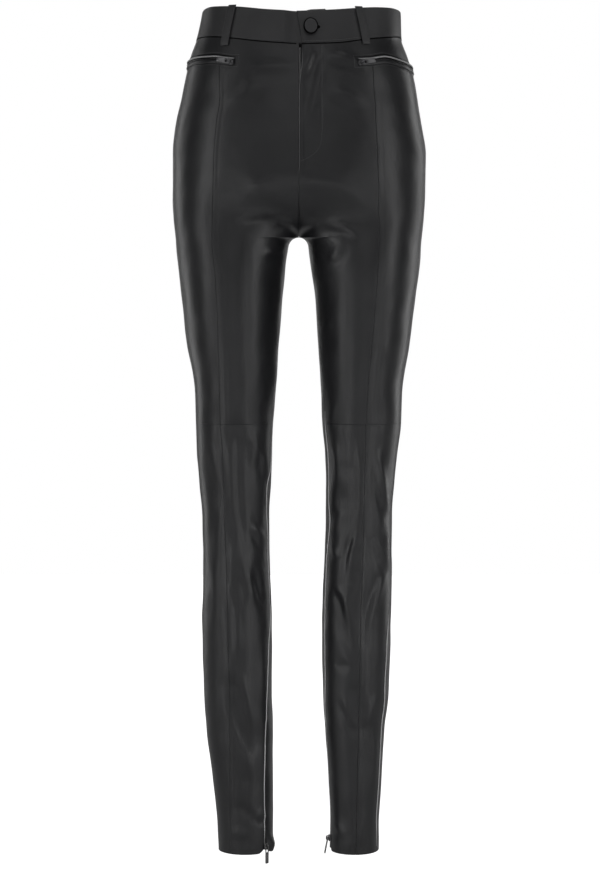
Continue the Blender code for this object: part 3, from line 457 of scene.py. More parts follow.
@dataclass(frozen=True)
class Form:
    """One half of the filled-out garment: hips that part into a leg at the crotch."""

    side: Side

    def level(self, name: str, t: Array) -> Array:
        """Drop of a line round the body: top or low of the waistband, or the pocket mouth."""
        return read(LEVELS, f"{name}_{self.side.value}", t)

    def seam(self, name: str, drop: Array) -> Array:
        """Where a panel seam runs."""
        return read(SEAMS, f"{name}_{self.side.value}", drop)

    def _torso_point(self, drop: Array, t: Array) -> tuple[Array, Array]:
        """Superellipse section: centre front, side, centre back."""
        half = read(TORSO, "half_" + self.side.value, drop)
        across = half * np.maximum(np.sin(math.pi * t), 0.0) ** (2 / TORSO_POWER)
        along = power(np.cos(math.pi * t), 2 / TORSO_POWER)
        return across, self._depth(TORSO, drop, along, t < 0.5)

    def _leg_point(self, drop: Array, t: Array) -> tuple[Array, Array]:
        """Superellipse section that starts at the leg's inner side and goes round by the front."""
        outer, inner = (read(LEG, f"{name}_{self.side.value}", drop) for name in ("outer", "inner"))
        depth = np.clip((drop - CROTCH) / CROTCH_ARCH, 0.0, 1.0)
        arch = np.sqrt(1 - (1 - depth) ** 2)
        turn = 2 * math.pi * t
        across = (outer + inner) / 2 - (outer - inner) / 2 * power(np.cos(turn), 2 / LEG_POWER)
        across = across - inner * (1 - arch) * ((1 + np.cos(turn)) / 2) ** ARCH_FOCUS
        along = power(np.sin(turn), 2 / LEG_POWER)
        return across, self._depth(LEG, drop, along, along > 0)

    @staticmethod
    def _depth(table: dict, drop: Array, along: Array, in_front: Array) -> Array:
        """y of a section: from the side's y towards the front or the back by the share along."""
        side_y = read(LEG, "side_y", drop)
        front = side_y - (read(table, "front", drop) + side_y) * along
        back = side_y - (read(table, "back", drop) - side_y) * along
        return np.where(in_front, front, back)

    def point(self, drop: Array, t: Array) -> Array:
        """Point of the form in millimetres: hip * torso section + (1 - hip) * leg section.

        Args:
            drop: how far down.
            t: how far round.

        Returns:
            Points, with x, y, z along the last axis.
        """
        drop, t = np.broadcast_arrays(np.asarray(drop, float), np.asarray(t, float))
        t = np.where(drop >= CROTCH, np.mod(t, 1.0), np.clip(t, 0.0, 1.0))
        away = smooth(np.minimum(t, 1 - t) / GROOVE_REACH)
        groove = np.where(t < 0.5, GROOVE_FRONT, GROOVE_BACK)
        below = THIGH_BLEND * away
        s = np.clip((CROTCH + below - drop) / (groove + below), 0.0, 1.0)
        hip = (1 - (1 - s) ** 2) ** (0.5 + 1.5 * away)
        hip_x, hip_y = self._torso_point(drop, t)
        leg_x, leg_y = self._leg_point(drop, t)
        x = self.side.sign * (hip * hip_x + (1 - hip) * leg_x)
        return np.stack([x, hip * hip_y + (1 - hip) * leg_y, WAIST_EDGE_Z - drop], axis=-1)

    def normal(self, drop: Array, t: Array, small_t: float = 0.002, small_drop: float = 0.4) -> Array:
        """Unit normals of the form, pointing out of the garment, from its run round and down the body.

        Args:
            drop: how far down.
            t: how far round.
            small_t: the step of t that is read.
            small_drop: the step of drop.

        Returns:
            The normals.
        """
        drop, t = np.broadcast_arrays(np.asarray(drop, float), np.asarray(t, float))
        before, after = (np.where(drop < CROTCH, np.clip(at, 0.0, 1.0), at)
                         for at in (t - small_t, t + small_t))
        round_body = self.point(drop, after) - self.point(drop, before)
        down_body = self.point(drop + small_drop, t) - self.point(drop - small_drop, t)
        return unit(np.cross(down_body, round_body) * self.side.sign)

    def t_at_x(self, drop: Array, x: Array, back: bool = False) -> Array:
        """Where the front or back half of each section lies x from the centre plane.

        Args:
            drop: how far down.
            x: the distance from the centre plane.
            back: whether the back half is read.

        Returns:
            t, in the shape of the two together.
        """
        drop, x = np.broadcast_arrays(np.asarray(drop, float), np.asarray(x, float))
        ts = np.linspace(1.0 if back else 0.0, 0.5, SECTION_POINTS)
        across = np.maximum.accumulate(np.abs(self.point(drop.reshape(-1, 1), ts)[..., 0]), axis=1)
        found = row_by_row(x.reshape(-1, 1), across, np.broadcast_to(ts, across.shape))
        return found.reshape(drop.shape)

    def step(self, drop: Array, t: Array, distance: Array, small: float = 0.004) -> Array:
        """A distance round the body as a step of t."""
        before, after = np.maximum(t - small, 0.0), np.minimum(t + small, 1.0)
        run = np.linalg.norm(self.point(drop, after) - self.point(drop, before), axis=-1)
        return distance * (after - before) / np.maximum(run, 0.05)

    def inseam(self, drop: Array) -> Array:
        """t of the inseam, or of the centre front above the crotch."""
        inner_x = np.abs(self.point(drop, 0.0)[..., 0])
        return self.t_at_x(drop, inner_x + self.seam("inseam_in", drop))

    def side_seam(self, drop: Array) -> Array:
        """t of the side seam."""
        outer_x = np.abs(self.point(drop, 0.5)[..., 0])
        return self.t_at_x(drop, outer_x - self.seam("side_in", drop))

    def front_seam(self, drop: Array) -> Array:
        """t of the seam down the middle of the front."""
        return self.t_at_x(drop, self.seam("front", drop))

    def bare(self, drop: Array, t: Array) -> tuple[Array, Array]:
        """Points of the form without its folds, and its normals."""
        return self.point(drop, t), self.normal(drop, t)

    def place(self, drop: Array, t: Array, lift: Array = 0.0) -> tuple[Array, Array]:
        """Points raised off the form, folds and all, with the form's normals."""
        points, normals = self.bare(drop, t)
        raised = RELIEF[self.side].height(points, normals) + np.asarray(lift, float)
        return points + normals * raised[..., None], normals


@dataclass(frozen=True)
class Relief:
    """Folds, creases and small unevenness, in millimetres out of the form."""

    side: Side
    turn_over: float = 1.5       # how soon the front's folds take over from the back's round the side
    ripple: float = 0.16
    ripple_count: int = 30
    ripple_seed: int = 11
    ripple_from: float = 40.0    # the ripples grow from here over the next stretch
    ripple_over: float = 60.0
    # the fly's edge and the dent of its stitches: height, x, half width, the drop where it begins and
    # the stretch over which it grows, and the drop where it ends and the stretch over which it fades
    bead: tuple[float, ...] = (0.75, 3.6, 1.9, 42.0, 8.0, 212.0, 30.0)
    stitched: tuple[float, ...] = (0.4, 28.3, 1.1, 44.0, 6.0, 152.0, 20.0)
    ridge_at: float = 0.6        # a stroke's ridge and trough: how far from its line and how wide, in
    ridge_width: float = 0.8     # half widths
    stroke_fade: float = 0.42    # the share of a stroke over which each end fades
    stroke_points: int = 19
    allowance_step: float = 0.18
    allowance_line: float = 0.14
    allowance_soft: float = 0.8  # half the width of the step's slope, and half that of the line
    line_width: float = 0.7
    allowance_from: float = 74.0     # the step grows from this drop over the next stretch
    allowance_over: float = 12.0

    def height(self, points: Array, normals: Array) -> Array:
        """How far each point stands out of the form.

        Args:
            points: points of the form.
            normals: the form's normals there.

        Returns:
            Heights in the shape of the points.
        """
        x = points[..., 0] * self.side.sign
        drop = WAIST_EDGE_Z - points[..., 2]
        front, back = (np.clip(way * self.turn_over * normals[..., 1], 0.0, 1.0) for way in (-1, 1))
        height = self.ripples(points) * smooth((drop - self.ripple_from) / self.ripple_over)
        folds = FRONT_DEPTH * self._strokes(STROKES, 1.0, points[..., 0], drop)
        height = height + front * (folds - self._troughs(x, drop))
        height = height + back * self._strokes(BACK_STROKES, -1.0, points[..., 0], drop)
        if self.side is Side.LEFT:
            height = height + front * self._placket(x, drop)
        return height + front * self._allowance(x, drop)

    def _placket(self, x: Array, drop: Array) -> Array:
        """The fly's folded edge, a low bead, and the line where its stitches draw the leather in."""
        bead, dent = (
            height * bump(x - at, width) * smooth((drop - first) / grows) * smooth((last - drop) / fades)
            for height, at, width, first, grows, last, fades in (self.bead, self.stitched))
        return bead - dent

    def _troughs(self, x: Array, drop: Array) -> Array:
        """The largest folds: depth * exp(-(gap / half_width) ** 2) from a straight line."""
        depth = np.zeros_like(x)
        for fold in rows_of(FOLDS, self.side.value):
            run_x, run_drop = fold["x_to"] - fold["x_from"], fold["drop_to"] - fold["drop_from"]
            from_x, from_drop = x - fold["x_from"], drop - fold["drop_from"]
            share = np.clip((from_x * run_x + from_drop * run_drop) / (run_x ** 2 + run_drop ** 2), 0.0, 1.0)
            gap = np.hypot(from_x - share * run_x, from_drop - share * run_drop)
            depth += fold["depth"] * bump(gap, fold["half_width"])
        return depth

    def _strokes(self, table: dict, way: float, x: Array, drop: Array) -> Array:
        """All the strokes of one face of this leg; way is -1 for the back, which is seen mirrored."""
        total = np.zeros_like(x)
        for row in rows_of(table, self.side.value):
            ends = np.array([[row["x_" + at] * way * self.side.sign, row["drop_" + at]]
                             for at in ("from", "mid", "to")], float)
            total += self._stroke(ends, row, np.stack([way * x, drop], axis=-1))
        return total

    def _stroke(self, ends: Array, row: dict, spots: Array) -> Array:
        """A ridge with a trough beside it, along a quadratic curve, read only near it.

        With s the signed distance from the curve over its half width, w the ridge's width and a its
        distance, the height is ridge * exp(-((s - a) / w) ** 2) - trough * exp(-((s + a) / w) ** 2),
        fading at the ends.

        Args:
            ends: the curve's first, middle and last points.
            row: the stroke's sizes.
            spots: where the height is read.

        Returns:
            The height at each spot.
        """
        half = STROKE_WIDTH[0] + STROKE_WIDTH[1] * float(row["half_width"])
        reach = 3 * half
        near = ((spots > ends.min(axis=0) - reach) & (spots < ends.max(axis=0) + reach)).all(axis=-1)
        height = np.zeros(near.shape)
        if not near.any():
            return height
        share = np.linspace(0.0, 1.0, self.stroke_points)[:, None]
        control = 2 * ends[1] - (ends[0] + ends[2]) / 2
        line = (1 - share) ** 2 * ends[0] + 2 * share * (1 - share) * control + share ** 2 * ends[2]
        at = spots[near][:, None, :]
        start, run = line[:-1], np.diff(line, axis=0)
        along = np.clip(((at - start) * run).sum(-1) / (run ** 2).sum(-1), 0.0, 1.0)
        gap = at - start - along[..., None] * run
        best = (gap ** 2).sum(-1).argmin(axis=1)
        pick = (np.arange(len(best)), best)
        way, gap = unit(run)[best], gap[pick]
        s = (gap[:, 0] * way[:, 1] - gap[:, 1] * way[:, 0]) / half
        beyond = (gap * way).sum(-1) / half
        covered = (best + along[pick]) / len(run)
        fade = smooth(np.minimum(covered, 1 - covered) / self.stroke_fade + 0.06)
        ridge, trough = (row[name] * bump(s - middle, self.ridge_width)
                         for name, middle in (("ridge", self.ridge_at), ("trough", -self.ridge_at)))
        height[near] = (ridge - trough) * (fade * bump(beyond, self.ridge_width))
        return height

    def ripples(self, points: Array) -> Array:
        """Seeded plane waves, 24 to 90 mm long, tighter down the leg than across it."""
        random = np.random.default_rng(self.ripple_seed)
        height = np.zeros(points.shape[:-1])
        for _ in range(self.ripple_count):
            way = unit(random.normal(size=3) * np.array([0.8, 0.8, 1.2]))
            wave = 2 * math.pi / random.uniform(24.0, 90.0)
            height += np.sin(points @ (way * wave) + random.uniform(0, 2 * math.pi))
        return height * self.ripple * math.sqrt(2 / self.ripple_count)

    def _allowance(self, x: Array, drop: Array) -> Array:
        """The pressed seam allowance: a low step beside the front seam with a fine line at its edge."""
        away = read(ALLOWANCE, "away_" + self.side.value, drop)
        gone = (x - FORM[self.side].seam("front", drop)) * np.sign(away)
        past = gone - np.abs(away)
        soft = self.allowance_soft
        step = self.allowance_step * (1 - smooth((past + soft) / (2 * soft))) * (gone > 0)
        line = self.allowance_line * bump(past - soft, self.line_width)
        return (step - line) * smooth((drop - self.allowance_from) / self.allowance_over)


FORM = {side: Form(side) for side in Side}
RELIEF = {side: Relief(side) for side in Side}


# ---- finishes ------------------------------------------------------------------------------------


def add_node(tree: Tree, kind: str, inputs: dict, **settings: object) -> Node:
    """A shader node with its inputs set to numbers or linked to sockets.

    Args:
        tree: the node tree it is added to.
        kind: its type, without the word ShaderNode.
        inputs: a number, a colour or an output socket for each input's label or place.
        settings: its other properties.

    Returns:
        The node.
    """
    node = tree.nodes.new("ShaderNode" + kind)
    for name, value in settings.items():
        setattr(node, name, value)
    feed(tree, node, inputs)
    return node


def feed(tree: Tree, node: Node, inputs: dict) -> None:
    """Set a node's inputs, each to a number or a colour, or to the socket it is linked to.

    Args:
        tree: the node's tree.
        node: the node.
        inputs: what goes in, by each input's label or place.
    """
    for label, value in inputs.items():
        if isinstance(value, bpy.types.NodeSocket):
            tree.links.new(value, node.inputs[label])
        else:
            node.inputs[label].default_value = value


def noise(tree: Tree, vector: Socket, scale: Socket | float, detail: float = 2.0,
          roughness: float = 0.5) -> Socket:
    """A noise texture on a vector; gives its Fac output."""
    inputs = {"Vector": vector, "Scale": scale, "Detail": detail, "Roughness": roughness}
    return add_node(tree, "TexNoise", inputs).outputs["Fac"]


def ranged(tree: Tree, value: Socket, low: float, high: float, to_low: float, to_high: float) -> Socket:
    """A clamped map of a value from one range to another."""
    inputs = {"Value": value, "From Min": low, "From Max": high, "To Min": to_low, "To Max": to_high}
    return add_node(tree, "MapRange", inputs).outputs["Result"]


def math_node(tree: Tree, operation: str, first: Socket | float, second: Socket | float) -> Socket:
    """A math node on two sockets or numbers."""
    return add_node(tree, "Math", {0: first, 1: second}, operation=operation).outputs[0]


def shared_group(name: str, scale: float, output: str, worked_out: Callable) -> Tree:
    """A node group with a vector and a scale going in and one value coming out.

    Args:
        name: the group's name.
        scale: the scale's default.
        output: the name of the value.
        worked_out: gives the value's socket from the group, the vector and the scale.

    Returns:
        The group.
    """
    group = bpy.data.node_groups.new(name, "ShaderNodeTree")
    group.interface.new_socket(name="Vector", in_out="INPUT", socket_type="NodeSocketVector")
    size = group.interface.new_socket(name="Scale", in_out="INPUT", socket_type="NodeSocketFloat")
    size.default_value = scale
    group.interface.new_socket(name=output, in_out="OUTPUT", socket_type="NodeSocketFloat")
    given = group.nodes.new("NodeGroupInput").outputs
    value = worked_out(group, given["Vector"], given["Scale"])
    group.links.new(value, group.nodes.new("NodeGroupOutput").inputs[output])
    return group


class SharedEffects:
    """Node groups that several finishes share, each built once."""

    def __init__(self) -> None:
        """Build the grain and the wear groups."""
        self.grain = shared_group("leather_grain", 900.0, "Height", self._grain)
        self.wear = shared_group("handling_wear", 14.0, "Mask", self._wear)

    @staticmethod
    def _grain(group: Tree, vector: Socket, scale: Socket) -> Socket:
        """Leather grain: rounded cells with fine creases between them, as a height from 0 to 1."""
        cells = add_node(group, "TexVoronoi", {"Vector": vector, "Scale": scale}, feature="DISTANCE_TO_EDGE")
        rounded = ranged(group, cells.outputs["Distance"], 0.0, 0.32, 0.0, 1.0)
        uneven = noise(group, vector, 260.0, 3.0, 0.6)
        return math_node(group, "ADD", rounded, math_node(group, "MULTIPLY", uneven, 0.8))

    @staticmethod
    def _wear(group: Tree, vector: Socket, scale: Socket) -> Socket:
        """Soft patches where a surface is handled: a mask from 0 to 1."""
        return ranged(group, noise(group, vector, scale, 4.0), 0.38, 0.66, 0.0, 1.0)


def shaded(name: str) -> tuple[bpy.types.Material, Tree, Node]:
    """A new material with its node tree and its Principled shader."""
    material = bpy.data.materials.new(name)
    material.use_nodes = True
    return material, material.node_tree, material.node_tree.nodes["Principled BSDF"]


@dataclass(frozen=True)
class Finish:
    """A Principled material with grain, wear and a little unevenness of colour and sheen."""

    name: str
    colour: tuple[float, float, float]
    worn_colour: tuple[float, float, float]
    roughness: float
    worn_roughness: float
    metallic: float = 0.0
    grain: float = 0.0
    grain_scale: float = 900.0
    grain_depth: float = 0.0001
    soft_bump: float = 0.0
    sheen: float = 0.0
    specular: float = 0.5

    def build(self, effects: SharedEffects) -> bpy.types.Material:
        """Make the material.

        Args:
            effects: the shared node groups.

        Returns:
            The material.
        """
        material, tree, shader = shaded(self.name)
        place = tree.nodes.new("ShaderNodeTexCoord").outputs["Object"]
        mask = add_node(tree, "Group", {"Vector": place}, node_tree=effects.wear).outputs["Mask"]
        mix = add_node(tree, "Mix", {0: mask, 6: (*self.colour, 1.0), 7: (*self.worn_colour, 1.0)},
                       data_type="RGBA")
        rough = ranged(tree, mask, 0.0, 1.0, self.roughness, self.worn_roughness)
        uneven = ranged(tree, noise(tree, place, 420.0), 0.3, 0.7, -0.03, 0.03)
        feed(tree, shader, {
            "Base Color": mix.outputs[2], "Roughness": math_node(tree, "ADD", rough, uneven),
            "Metallic": self.metallic, "Sheen Weight": self.sheen, "Specular IOR Level": self.specular})
        if self.grain:
            feed(tree, shader, {"Normal": self._grain_normal(tree, place, effects)})
        return material

    def _grain_normal(self, tree: Tree, place: Socket, effects: SharedEffects) -> Socket:
        """Bump from the shared grain, over a softer, broader unevenness."""
        grain = add_node(tree, "Group", {"Vector": place, "Scale": self.grain_scale}, node_tree=effects.grain)
        bumped = {"Strength": self.grain, "Distance": self.grain_depth, "Height": grain.outputs["Height"]}
        if self.soft_bump:
            soft = add_node(tree, "Bump", {"Strength": 1.0, "Distance": self.soft_bump,
                                           "Height": noise(tree, place, 75.0, 4.0, 0.55)})
            bumped["Normal"] = soft.outputs["Normal"]
        return add_node(tree, "Bump", bumped).outputs["Normal"]


class Look(Enum):
    """Every finish of the garment: name, colour, rubbed colour, roughness, rubbed roughness."""

    LEATHER = Finish("satin black leather", (0.0125, 0.0127, 0.0142), (0.0165, 0.0168, 0.0185), 0.34, 0.4,
                     grain=0.3, soft_bump=0.00018, specular=0.55)
    BAND = Finish("folded black leather", (0.026, 0.026, 0.0275), (0.034, 0.034, 0.036), 0.44, 0.52,
                  grain=0.35, soft_bump=0.0002)
    FLESH = Finish("black suede flesh side", (0.012, 0.012, 0.0125), (0.018, 0.0175, 0.017), 0.92, 0.98,
                   grain=0.6, grain_scale=1500.0, sheen=0.15, specular=0.2)
    TAPE = Finish("black zip tape", (0.009, 0.009, 0.01), (0.013, 0.013, 0.014), 0.85, 0.92,
                  grain=0.7, grain_scale=1800.0, specular=0.3)
    GUNMETAL = Finish("gunmetal plating", (0.15, 0.15, 0.156), (0.24, 0.237, 0.232), 0.3, 0.4,
                      metallic=1.0, grain=0.12, grain_scale=700.0)
    BRIGHT = Finish("rubbed gunmetal", (0.2, 0.2, 0.205), (0.32, 0.32, 0.32), 0.34, 0.42,
                    metallic=1.0, grain=0.1, grain_scale=700.0)
    THREAD = Finish("black sewing thread", (0.08, 0.08, 0.082), (0.12, 0.12, 0.122), 0.5, 0.58,
                    grain=0.5, grain_scale=2600.0)
    # painted highlights: pale colours on the seam edges and on the upper jet's crest stand in for light caught there
    EDGE = Finish("rubbed leather edge", (0.15, 0.15, 0.154), (0.21, 0.21, 0.214), 0.36, 0.44,
                  grain=0.3, grain_scale=1600.0)
    JET = Finish("rubbed jet leather", (0.32, 0.32, 0.324), (0.4, 0.4, 0.404), 0.28, 0.36,
                 grain=0.3, grain_scale=1600.0)
    PALE = Finish("bare leather edge", (0.58, 0.58, 0.585), (0.68, 0.68, 0.684), 0.3, 0.38,
                  grain=0.3, grain_scale=1600.0)
    BUTTON = Finish("button leather", (0.03, 0.03, 0.032), (0.036, 0.036, 0.038), 0.5, 0.56,
                    grain=0.3, specular=0.45)
    # black painted shade: the button's rim and underside, the buttonhole's end, the crease under the waistband and the
    # lines beside the upper jet
    RIM = Finish("button rim", (0.003, 0.003, 0.003), (0.004, 0.004, 0.004), 0.6, 0.7,
                 grain=0.2, specular=0.03)


MATERIALS: dict[Look, bpy.types.Material] = {}


def make_materials() -> None:
    """Make the material of every finish, with the shared node groups."""
    effects = SharedEffects()
    for look in Look:
        MATERIALS[look] = look.value.build(effects)


# ---- mesh helpers --------------------------------------------------------------------------------


@dataclass
class Faceted:
    """Points, quads and one material index for each quad, before they become a mesh."""

    points: Array
    quads: Array
    kinds: Array

    def moved(self, matrix: Matrix) -> "Faceted":
        """The same piece carried by a frame whose place is in metres."""
        turn = np.array(matrix.to_3x3())
        return Faceted(self.points @ turn.T + np.array(matrix.translation) / MM, self.quads, self.kinds)


def joined(parts: Sequence[Faceted]) -> Faceted:
    """Several pieces as one.

    Args:
        parts: the pieces.

    Returns:
        One piece that holds all their points, faces and kinds.
    """
    starts = np.cumsum([0] + [len(part.points) for part in parts[:-1]])
    return Faceted(np.concatenate([part.points for part in parts]),
                   np.concatenate([part.quads + start for part, start in zip(parts, starts)]),
                   np.concatenate([part.kinds for part in parts]))


def as_object(name: str, made: Faceted, finishes: Sequence[Look], sharp_deg: float) -> Thing:
    """A mesh object at the origin from points in millimetres.

    Args:
        name: the object's name.
        made: the piece's points and faces.
        finishes: its finishes, in the order of the face kinds; the last one takes the kinds beyond it.
        sharp_deg: edges with a larger angle stay sharp.

    Returns:
        The object, linked to the scene.
    """
    _, first, index = np.unique(np.round(made.points, 4), axis=0, return_index=True, return_inverse=True)
    corners = index.reshape(-1)[made.quads]
    kept = corners != np.roll(corners, -1, axis=1)
    whole = kept.sum(axis=1) > 2
    corners, kept, kinds = corners[whole], kept[whole], made.kinds[whole]
    used, loops = np.unique(corners[kept], return_inverse=True)
    totals = kept.sum(axis=1)
    mesh = bpy.data.meshes.new(name)
    mesh.vertices.add(len(used))
    mesh.vertices.foreach_set("co", (made.points[first[used]] * MM).astype(np.float32).ravel())
    mesh.loops.add(len(loops))
    mesh.loops.foreach_set("vertex_index", loops.astype(np.int32).ravel())
    mesh.polygons.add(len(totals))
    mesh.polygons.foreach_set("loop_start", (np.cumsum(totals) - totals).astype(np.int32))
    mesh.polygons.foreach_set("loop_total", totals.astype(np.int32))
    for look in finishes:
        mesh.materials.append(MATERIALS[look])
    mesh.polygons.foreach_set("material_index", np.minimum(kinds, len(finishes) - 1).astype(np.int32))
    mesh.update(calc_edges=True)
    mesh.validate()
    mesh.shade_smooth()
    mesh.set_sharp_from_angle(angle=math.radians(sharp_deg))
    return linked(name, mesh)


def linked(name: str, data: bpy.types.ID) -> Thing:
    """A new object of a mesh, a light or a camera, in the scene."""
    made = bpy.data.objects.new(name, data)
    bpy.context.scene.collection.objects.link(made)
    return made


def solid_part(node: str, made: Faceted, finishes: Sequence[Look], slot: str,
               sharp_deg: float = 60.0, body: str = "garment") -> Thing:
    """The piece seen in place of a CAD node.

    Args:
        node: the CAD node it replaces.
        made: its points and faces.
        finishes: its finishes, in the order of the face kinds.
        slot: the node's material slot.
        sharp_deg: edges with a larger angle stay sharp.
        body: the body it rides on.

    Returns:
        The object.
    """
    piece = as_object("visual_" + node, made, finishes, sharp_deg)
    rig.ride(piece, body)
    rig.replaces(piece, node)
    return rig.slot(piece, slot)


def trim(name: str, made: Faceted, *finishes: Look) -> Thing:
    """A piece of trim that rides on the garment and replaces nothing."""
    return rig.ride(as_object(name, made, finishes, 60.0), "garment")


def walled(outer: Array, inner: Array, keep: Array | None = None) -> Faceted:
    """A closed wall between two grids of points; cells outside keep are left out.

    Args:
        outer: rows x columns x 3 points of the outside.
        inner: the same for the inside.
        keep: cells to build, or all of them.

    Returns:
        The wall: kind 0 outside and on the rims, kind 1 inside.
    """
    rows, cols = outer.shape[:2]
    keep = np.ones((rows - 1, cols - 1), bool) if keep is None else keep
    number = np.arange(rows * cols).reshape(rows, cols)
    corner = [number[:-1, :-1], number[1:, :-1], number[1:, 1:], number[:-1, 1:]]
    face = np.stack([c[keep] for c in corner], axis=-1)
    count = rows * cols
    padded = np.pad(keep, 1)
    rims = []
    for k, (dy, dx) in enumerate(((0, -1), (1, 0), (0, 1), (-1, 0))):
        beside = padded[1 + dy:rows + dy, 1 + dx:cols + dx]
        edge = keep & ~beside
        a, b = corner[k][edge], corner[(k + 1) % 4][edge]
        rims.append(np.stack([b, a, a + count, b + count], axis=-1))
    quads = np.concatenate([face, face[:, ::-1] + count, *rims])
    kinds = np.zeros(len(quads), int)
    kinds[len(face):2 * len(face)] = 1
    return facing(Faceted(np.concatenate([outer.reshape(-1, 3), inner.reshape(-1, 3)]), quads, kinds))


def facing(made: Faceted) -> Faceted:
    """The piece with its faces turned so that its signed volume is positive.

    Args:
        made: a closed piece.

    Returns:
        The same piece, facing outwards.
    """
    corners = made.points[made.quads]
    base = corners[:, 0]
    volume = (base * np.cross(corners[:, 1] - corners[:, 0], corners[:, 2] - corners[:, 0])).sum()
    volume += (base * np.cross(corners[:, 2] - corners[:, 0], corners[:, 3] - corners[:, 0])).sum()
    return made if volume > 0 else Faceted(made.points, made.quads[:, ::-1], made.kinds)


ANY_WAY = np.array([0.31, 0.17, 0.94])     # a way that no bar runs along


def tube(line: Array, radius: Array | float, sides: int = 8, kind: int = 0, flat: float = 1.0,
         facing_way: Array | None = None) -> Faceted:
    """A closed round bar: a circle of the given radius carried along a line.

    Args:
        line: points of its middle.
        radius: one radius, or one for each point.
        sides: how many sides it has.
        kind: its face kind.
        flat: how thick it is along facing_way, as a share of its width.
        facing_way: the way its flat side faces.

    Returns:
        The bar with both its ends closed.
    """
    line = np.asarray(line, float)
    way = unit(np.gradient(line, axis=0))
    guide = ANY_WAY if facing_way is None else np.asarray(facing_way, float)
    across = unit(np.cross(way, np.broadcast_to(guide, way.shape)))
    up = np.cross(across, way)
    angle = np.linspace(0, 2 * math.pi, sides, endpoint=False)[:, None]
    radius = np.broadcast_to(np.asarray(radius, float), (len(line),))
    ring = across[:, None] * np.cos(angle) + up[:, None] * np.sin(angle) * flat
    points = line[:, None] + ring * radius[:, None, None]
    caps = np.stack([line[:1].repeat(sides, 0), line[-1:].repeat(sides, 0)])
    points = np.concatenate([caps[:1], points, caps[1:]])
    return facing(wrapped(points, kind))


def wrapped(points: Array, kind: int = 0) -> Faceted:
    """Quads between rings of points, each ring closed on itself.

    Args:
        points: rings x points x 3.
        kind: the face kind.

    Returns:
        The open skin between the first ring and the last.
    """
    rows, cols = points.shape[:2]
    number = np.arange(rows * cols).reshape(rows, cols)
    after = np.roll(number, -1, axis=1)
    quads = np.stack([number[:-1], after[:-1], after[1:], number[1:]], axis=-1).reshape(-1, 4)
    return Faceted(points.reshape(-1, 3), quads, np.full(len(quads), kind))


def turned(profile: Sequence[tuple[float, float]], steps: int, kinds: Sequence[int]) -> Faceted:
    """A profile of (radius, height) spun round the Z axis.

    Args:
        profile: from the bottom to the top, with radius 0 at both ends.
        steps: how many steps it is spun in.
        kinds: the face kind of each stretch of the profile.

    Returns:
        The turned piece.
    """
    line = np.array(profile, float)
    angle = np.linspace(0, 2 * math.pi, steps, endpoint=False)
    x, y = line[:, :1] * np.cos(angle), line[:, :1] * np.sin(angle)
    made = wrapped(np.stack([x, y, np.broadcast_to(line[:, 1:], x.shape)], axis=-1))
    made.kinds = np.repeat(np.asarray(kinds), steps)
    return facing(made)


def slab(outline: Array, low: float, high: float, bevel: float, hole: Array | None = None) -> Faceted:
    """A flat piece with rounded edges from an outline in the XY plane, perhaps with a hole.

    Args:
        outline: points of the outline, counter-clockwise.
        low: height of its underside.
        high: height of its top.
        bevel: radius of its edges.
        hole: an inner outline with as many points.

    Returns:
        The closed piece.
    """
    angles = np.linspace(0, math.pi / 2, 4)
    insets = np.concatenate([bevel * (1 - np.sin(angles)), bevel * (1 - np.cos(angles))])
    heights = np.concatenate([low + bevel * (1 - np.cos(angles)), high - bevel * (1 - np.sin(angles))])
    rings = [with_height(inset(outline, d), z) for d, z in zip(insets, heights)]
    if hole is None:
        centre = np.repeat(outline.mean(axis=0)[None], len(outline), 0)
        rings = [with_height(centre, low), *rings, with_height(centre, high)]
    else:
        inner = [with_height(inset(hole, -d), z) for d, z in zip(insets[::-1], heights[::-1])]
        rings = [*rings, *inner, rings[0]]
    return facing(wrapped(np.stack(rings)))


def inset(outline: Array, distance: float) -> Array:
    """A closed outline moved inwards by a distance.

    Args:
        outline: its points, counter-clockwise.
        distance: how far; negative moves it outwards.

    Returns:
        The moved outline, with as many points.
    """
    before = unit(outline - np.roll(outline, 1, axis=0))
    after = unit(np.roll(outline, -1, axis=0) - outline)
    way = unit(before + after)
    return outline + np.stack([-way[:, 1], way[:, 0]], axis=-1) * distance


def with_height(outline: Array, height: float) -> Array:
    """A flat outline as points at one height."""
    return np.concatenate([outline, np.full((len(outline), 1), height)], axis=1)


def rounded(width: float, low: float, high: float, radius: float, steps: int = 5) -> Array:
    """Outline of a rounded rectangle, counter-clockwise from its right side.

    Args:
        width: its size in x, about 0.
        low: its lowest y.
        high: its highest y.
        radius: radius of its corners.
        steps: points in each corner.

    Returns:
        The points, in the XY plane.
    """
    outline = []
    for sx, sy, start in ((1, 1, 0.0), (-1, 1, 90.0), (-1, -1, 180.0), (1, -1, 270.0)):
        angle = np.radians(start + np.linspace(0.0, 90.0, steps))
        middle = (high if sy > 0 else low) - sy * radius
        outline.append(np.stack([sx * (width / 2 - radius) + radius * np.cos(angle),
                                 middle + radius * np.sin(angle)], axis=-1))
    return np.concatenate(outline)


def frame_matrix(origin: Array, z_axis: Array, y_axis: Array) -> Matrix:
    """A frame in metres from an origin in millimetres, its outward axis and the way along it.

    Args:
        origin: where it lies.
        z_axis: its Z.
        y_axis: about where its Y points.

    Returns:
        The frame as a matrix.
    """
    z = unit(np.asarray(z_axis, float))
    y = np.asarray(y_axis, float)
    y = unit(y - z * (y @ z))
    axes = np.stack([np.cross(y, z), y, z, np.asarray(origin, float) * MM], axis=1)
    return Matrix([*axes.tolist(), (0.0, 0.0, 0.0, 1.0)])


def run_along(line: Array) -> Array:
    """How far each point of a line lies from its start."""
    return np.concatenate([[0.0], np.cumsum(np.linalg.norm(np.diff(line, axis=0), axis=-1))])


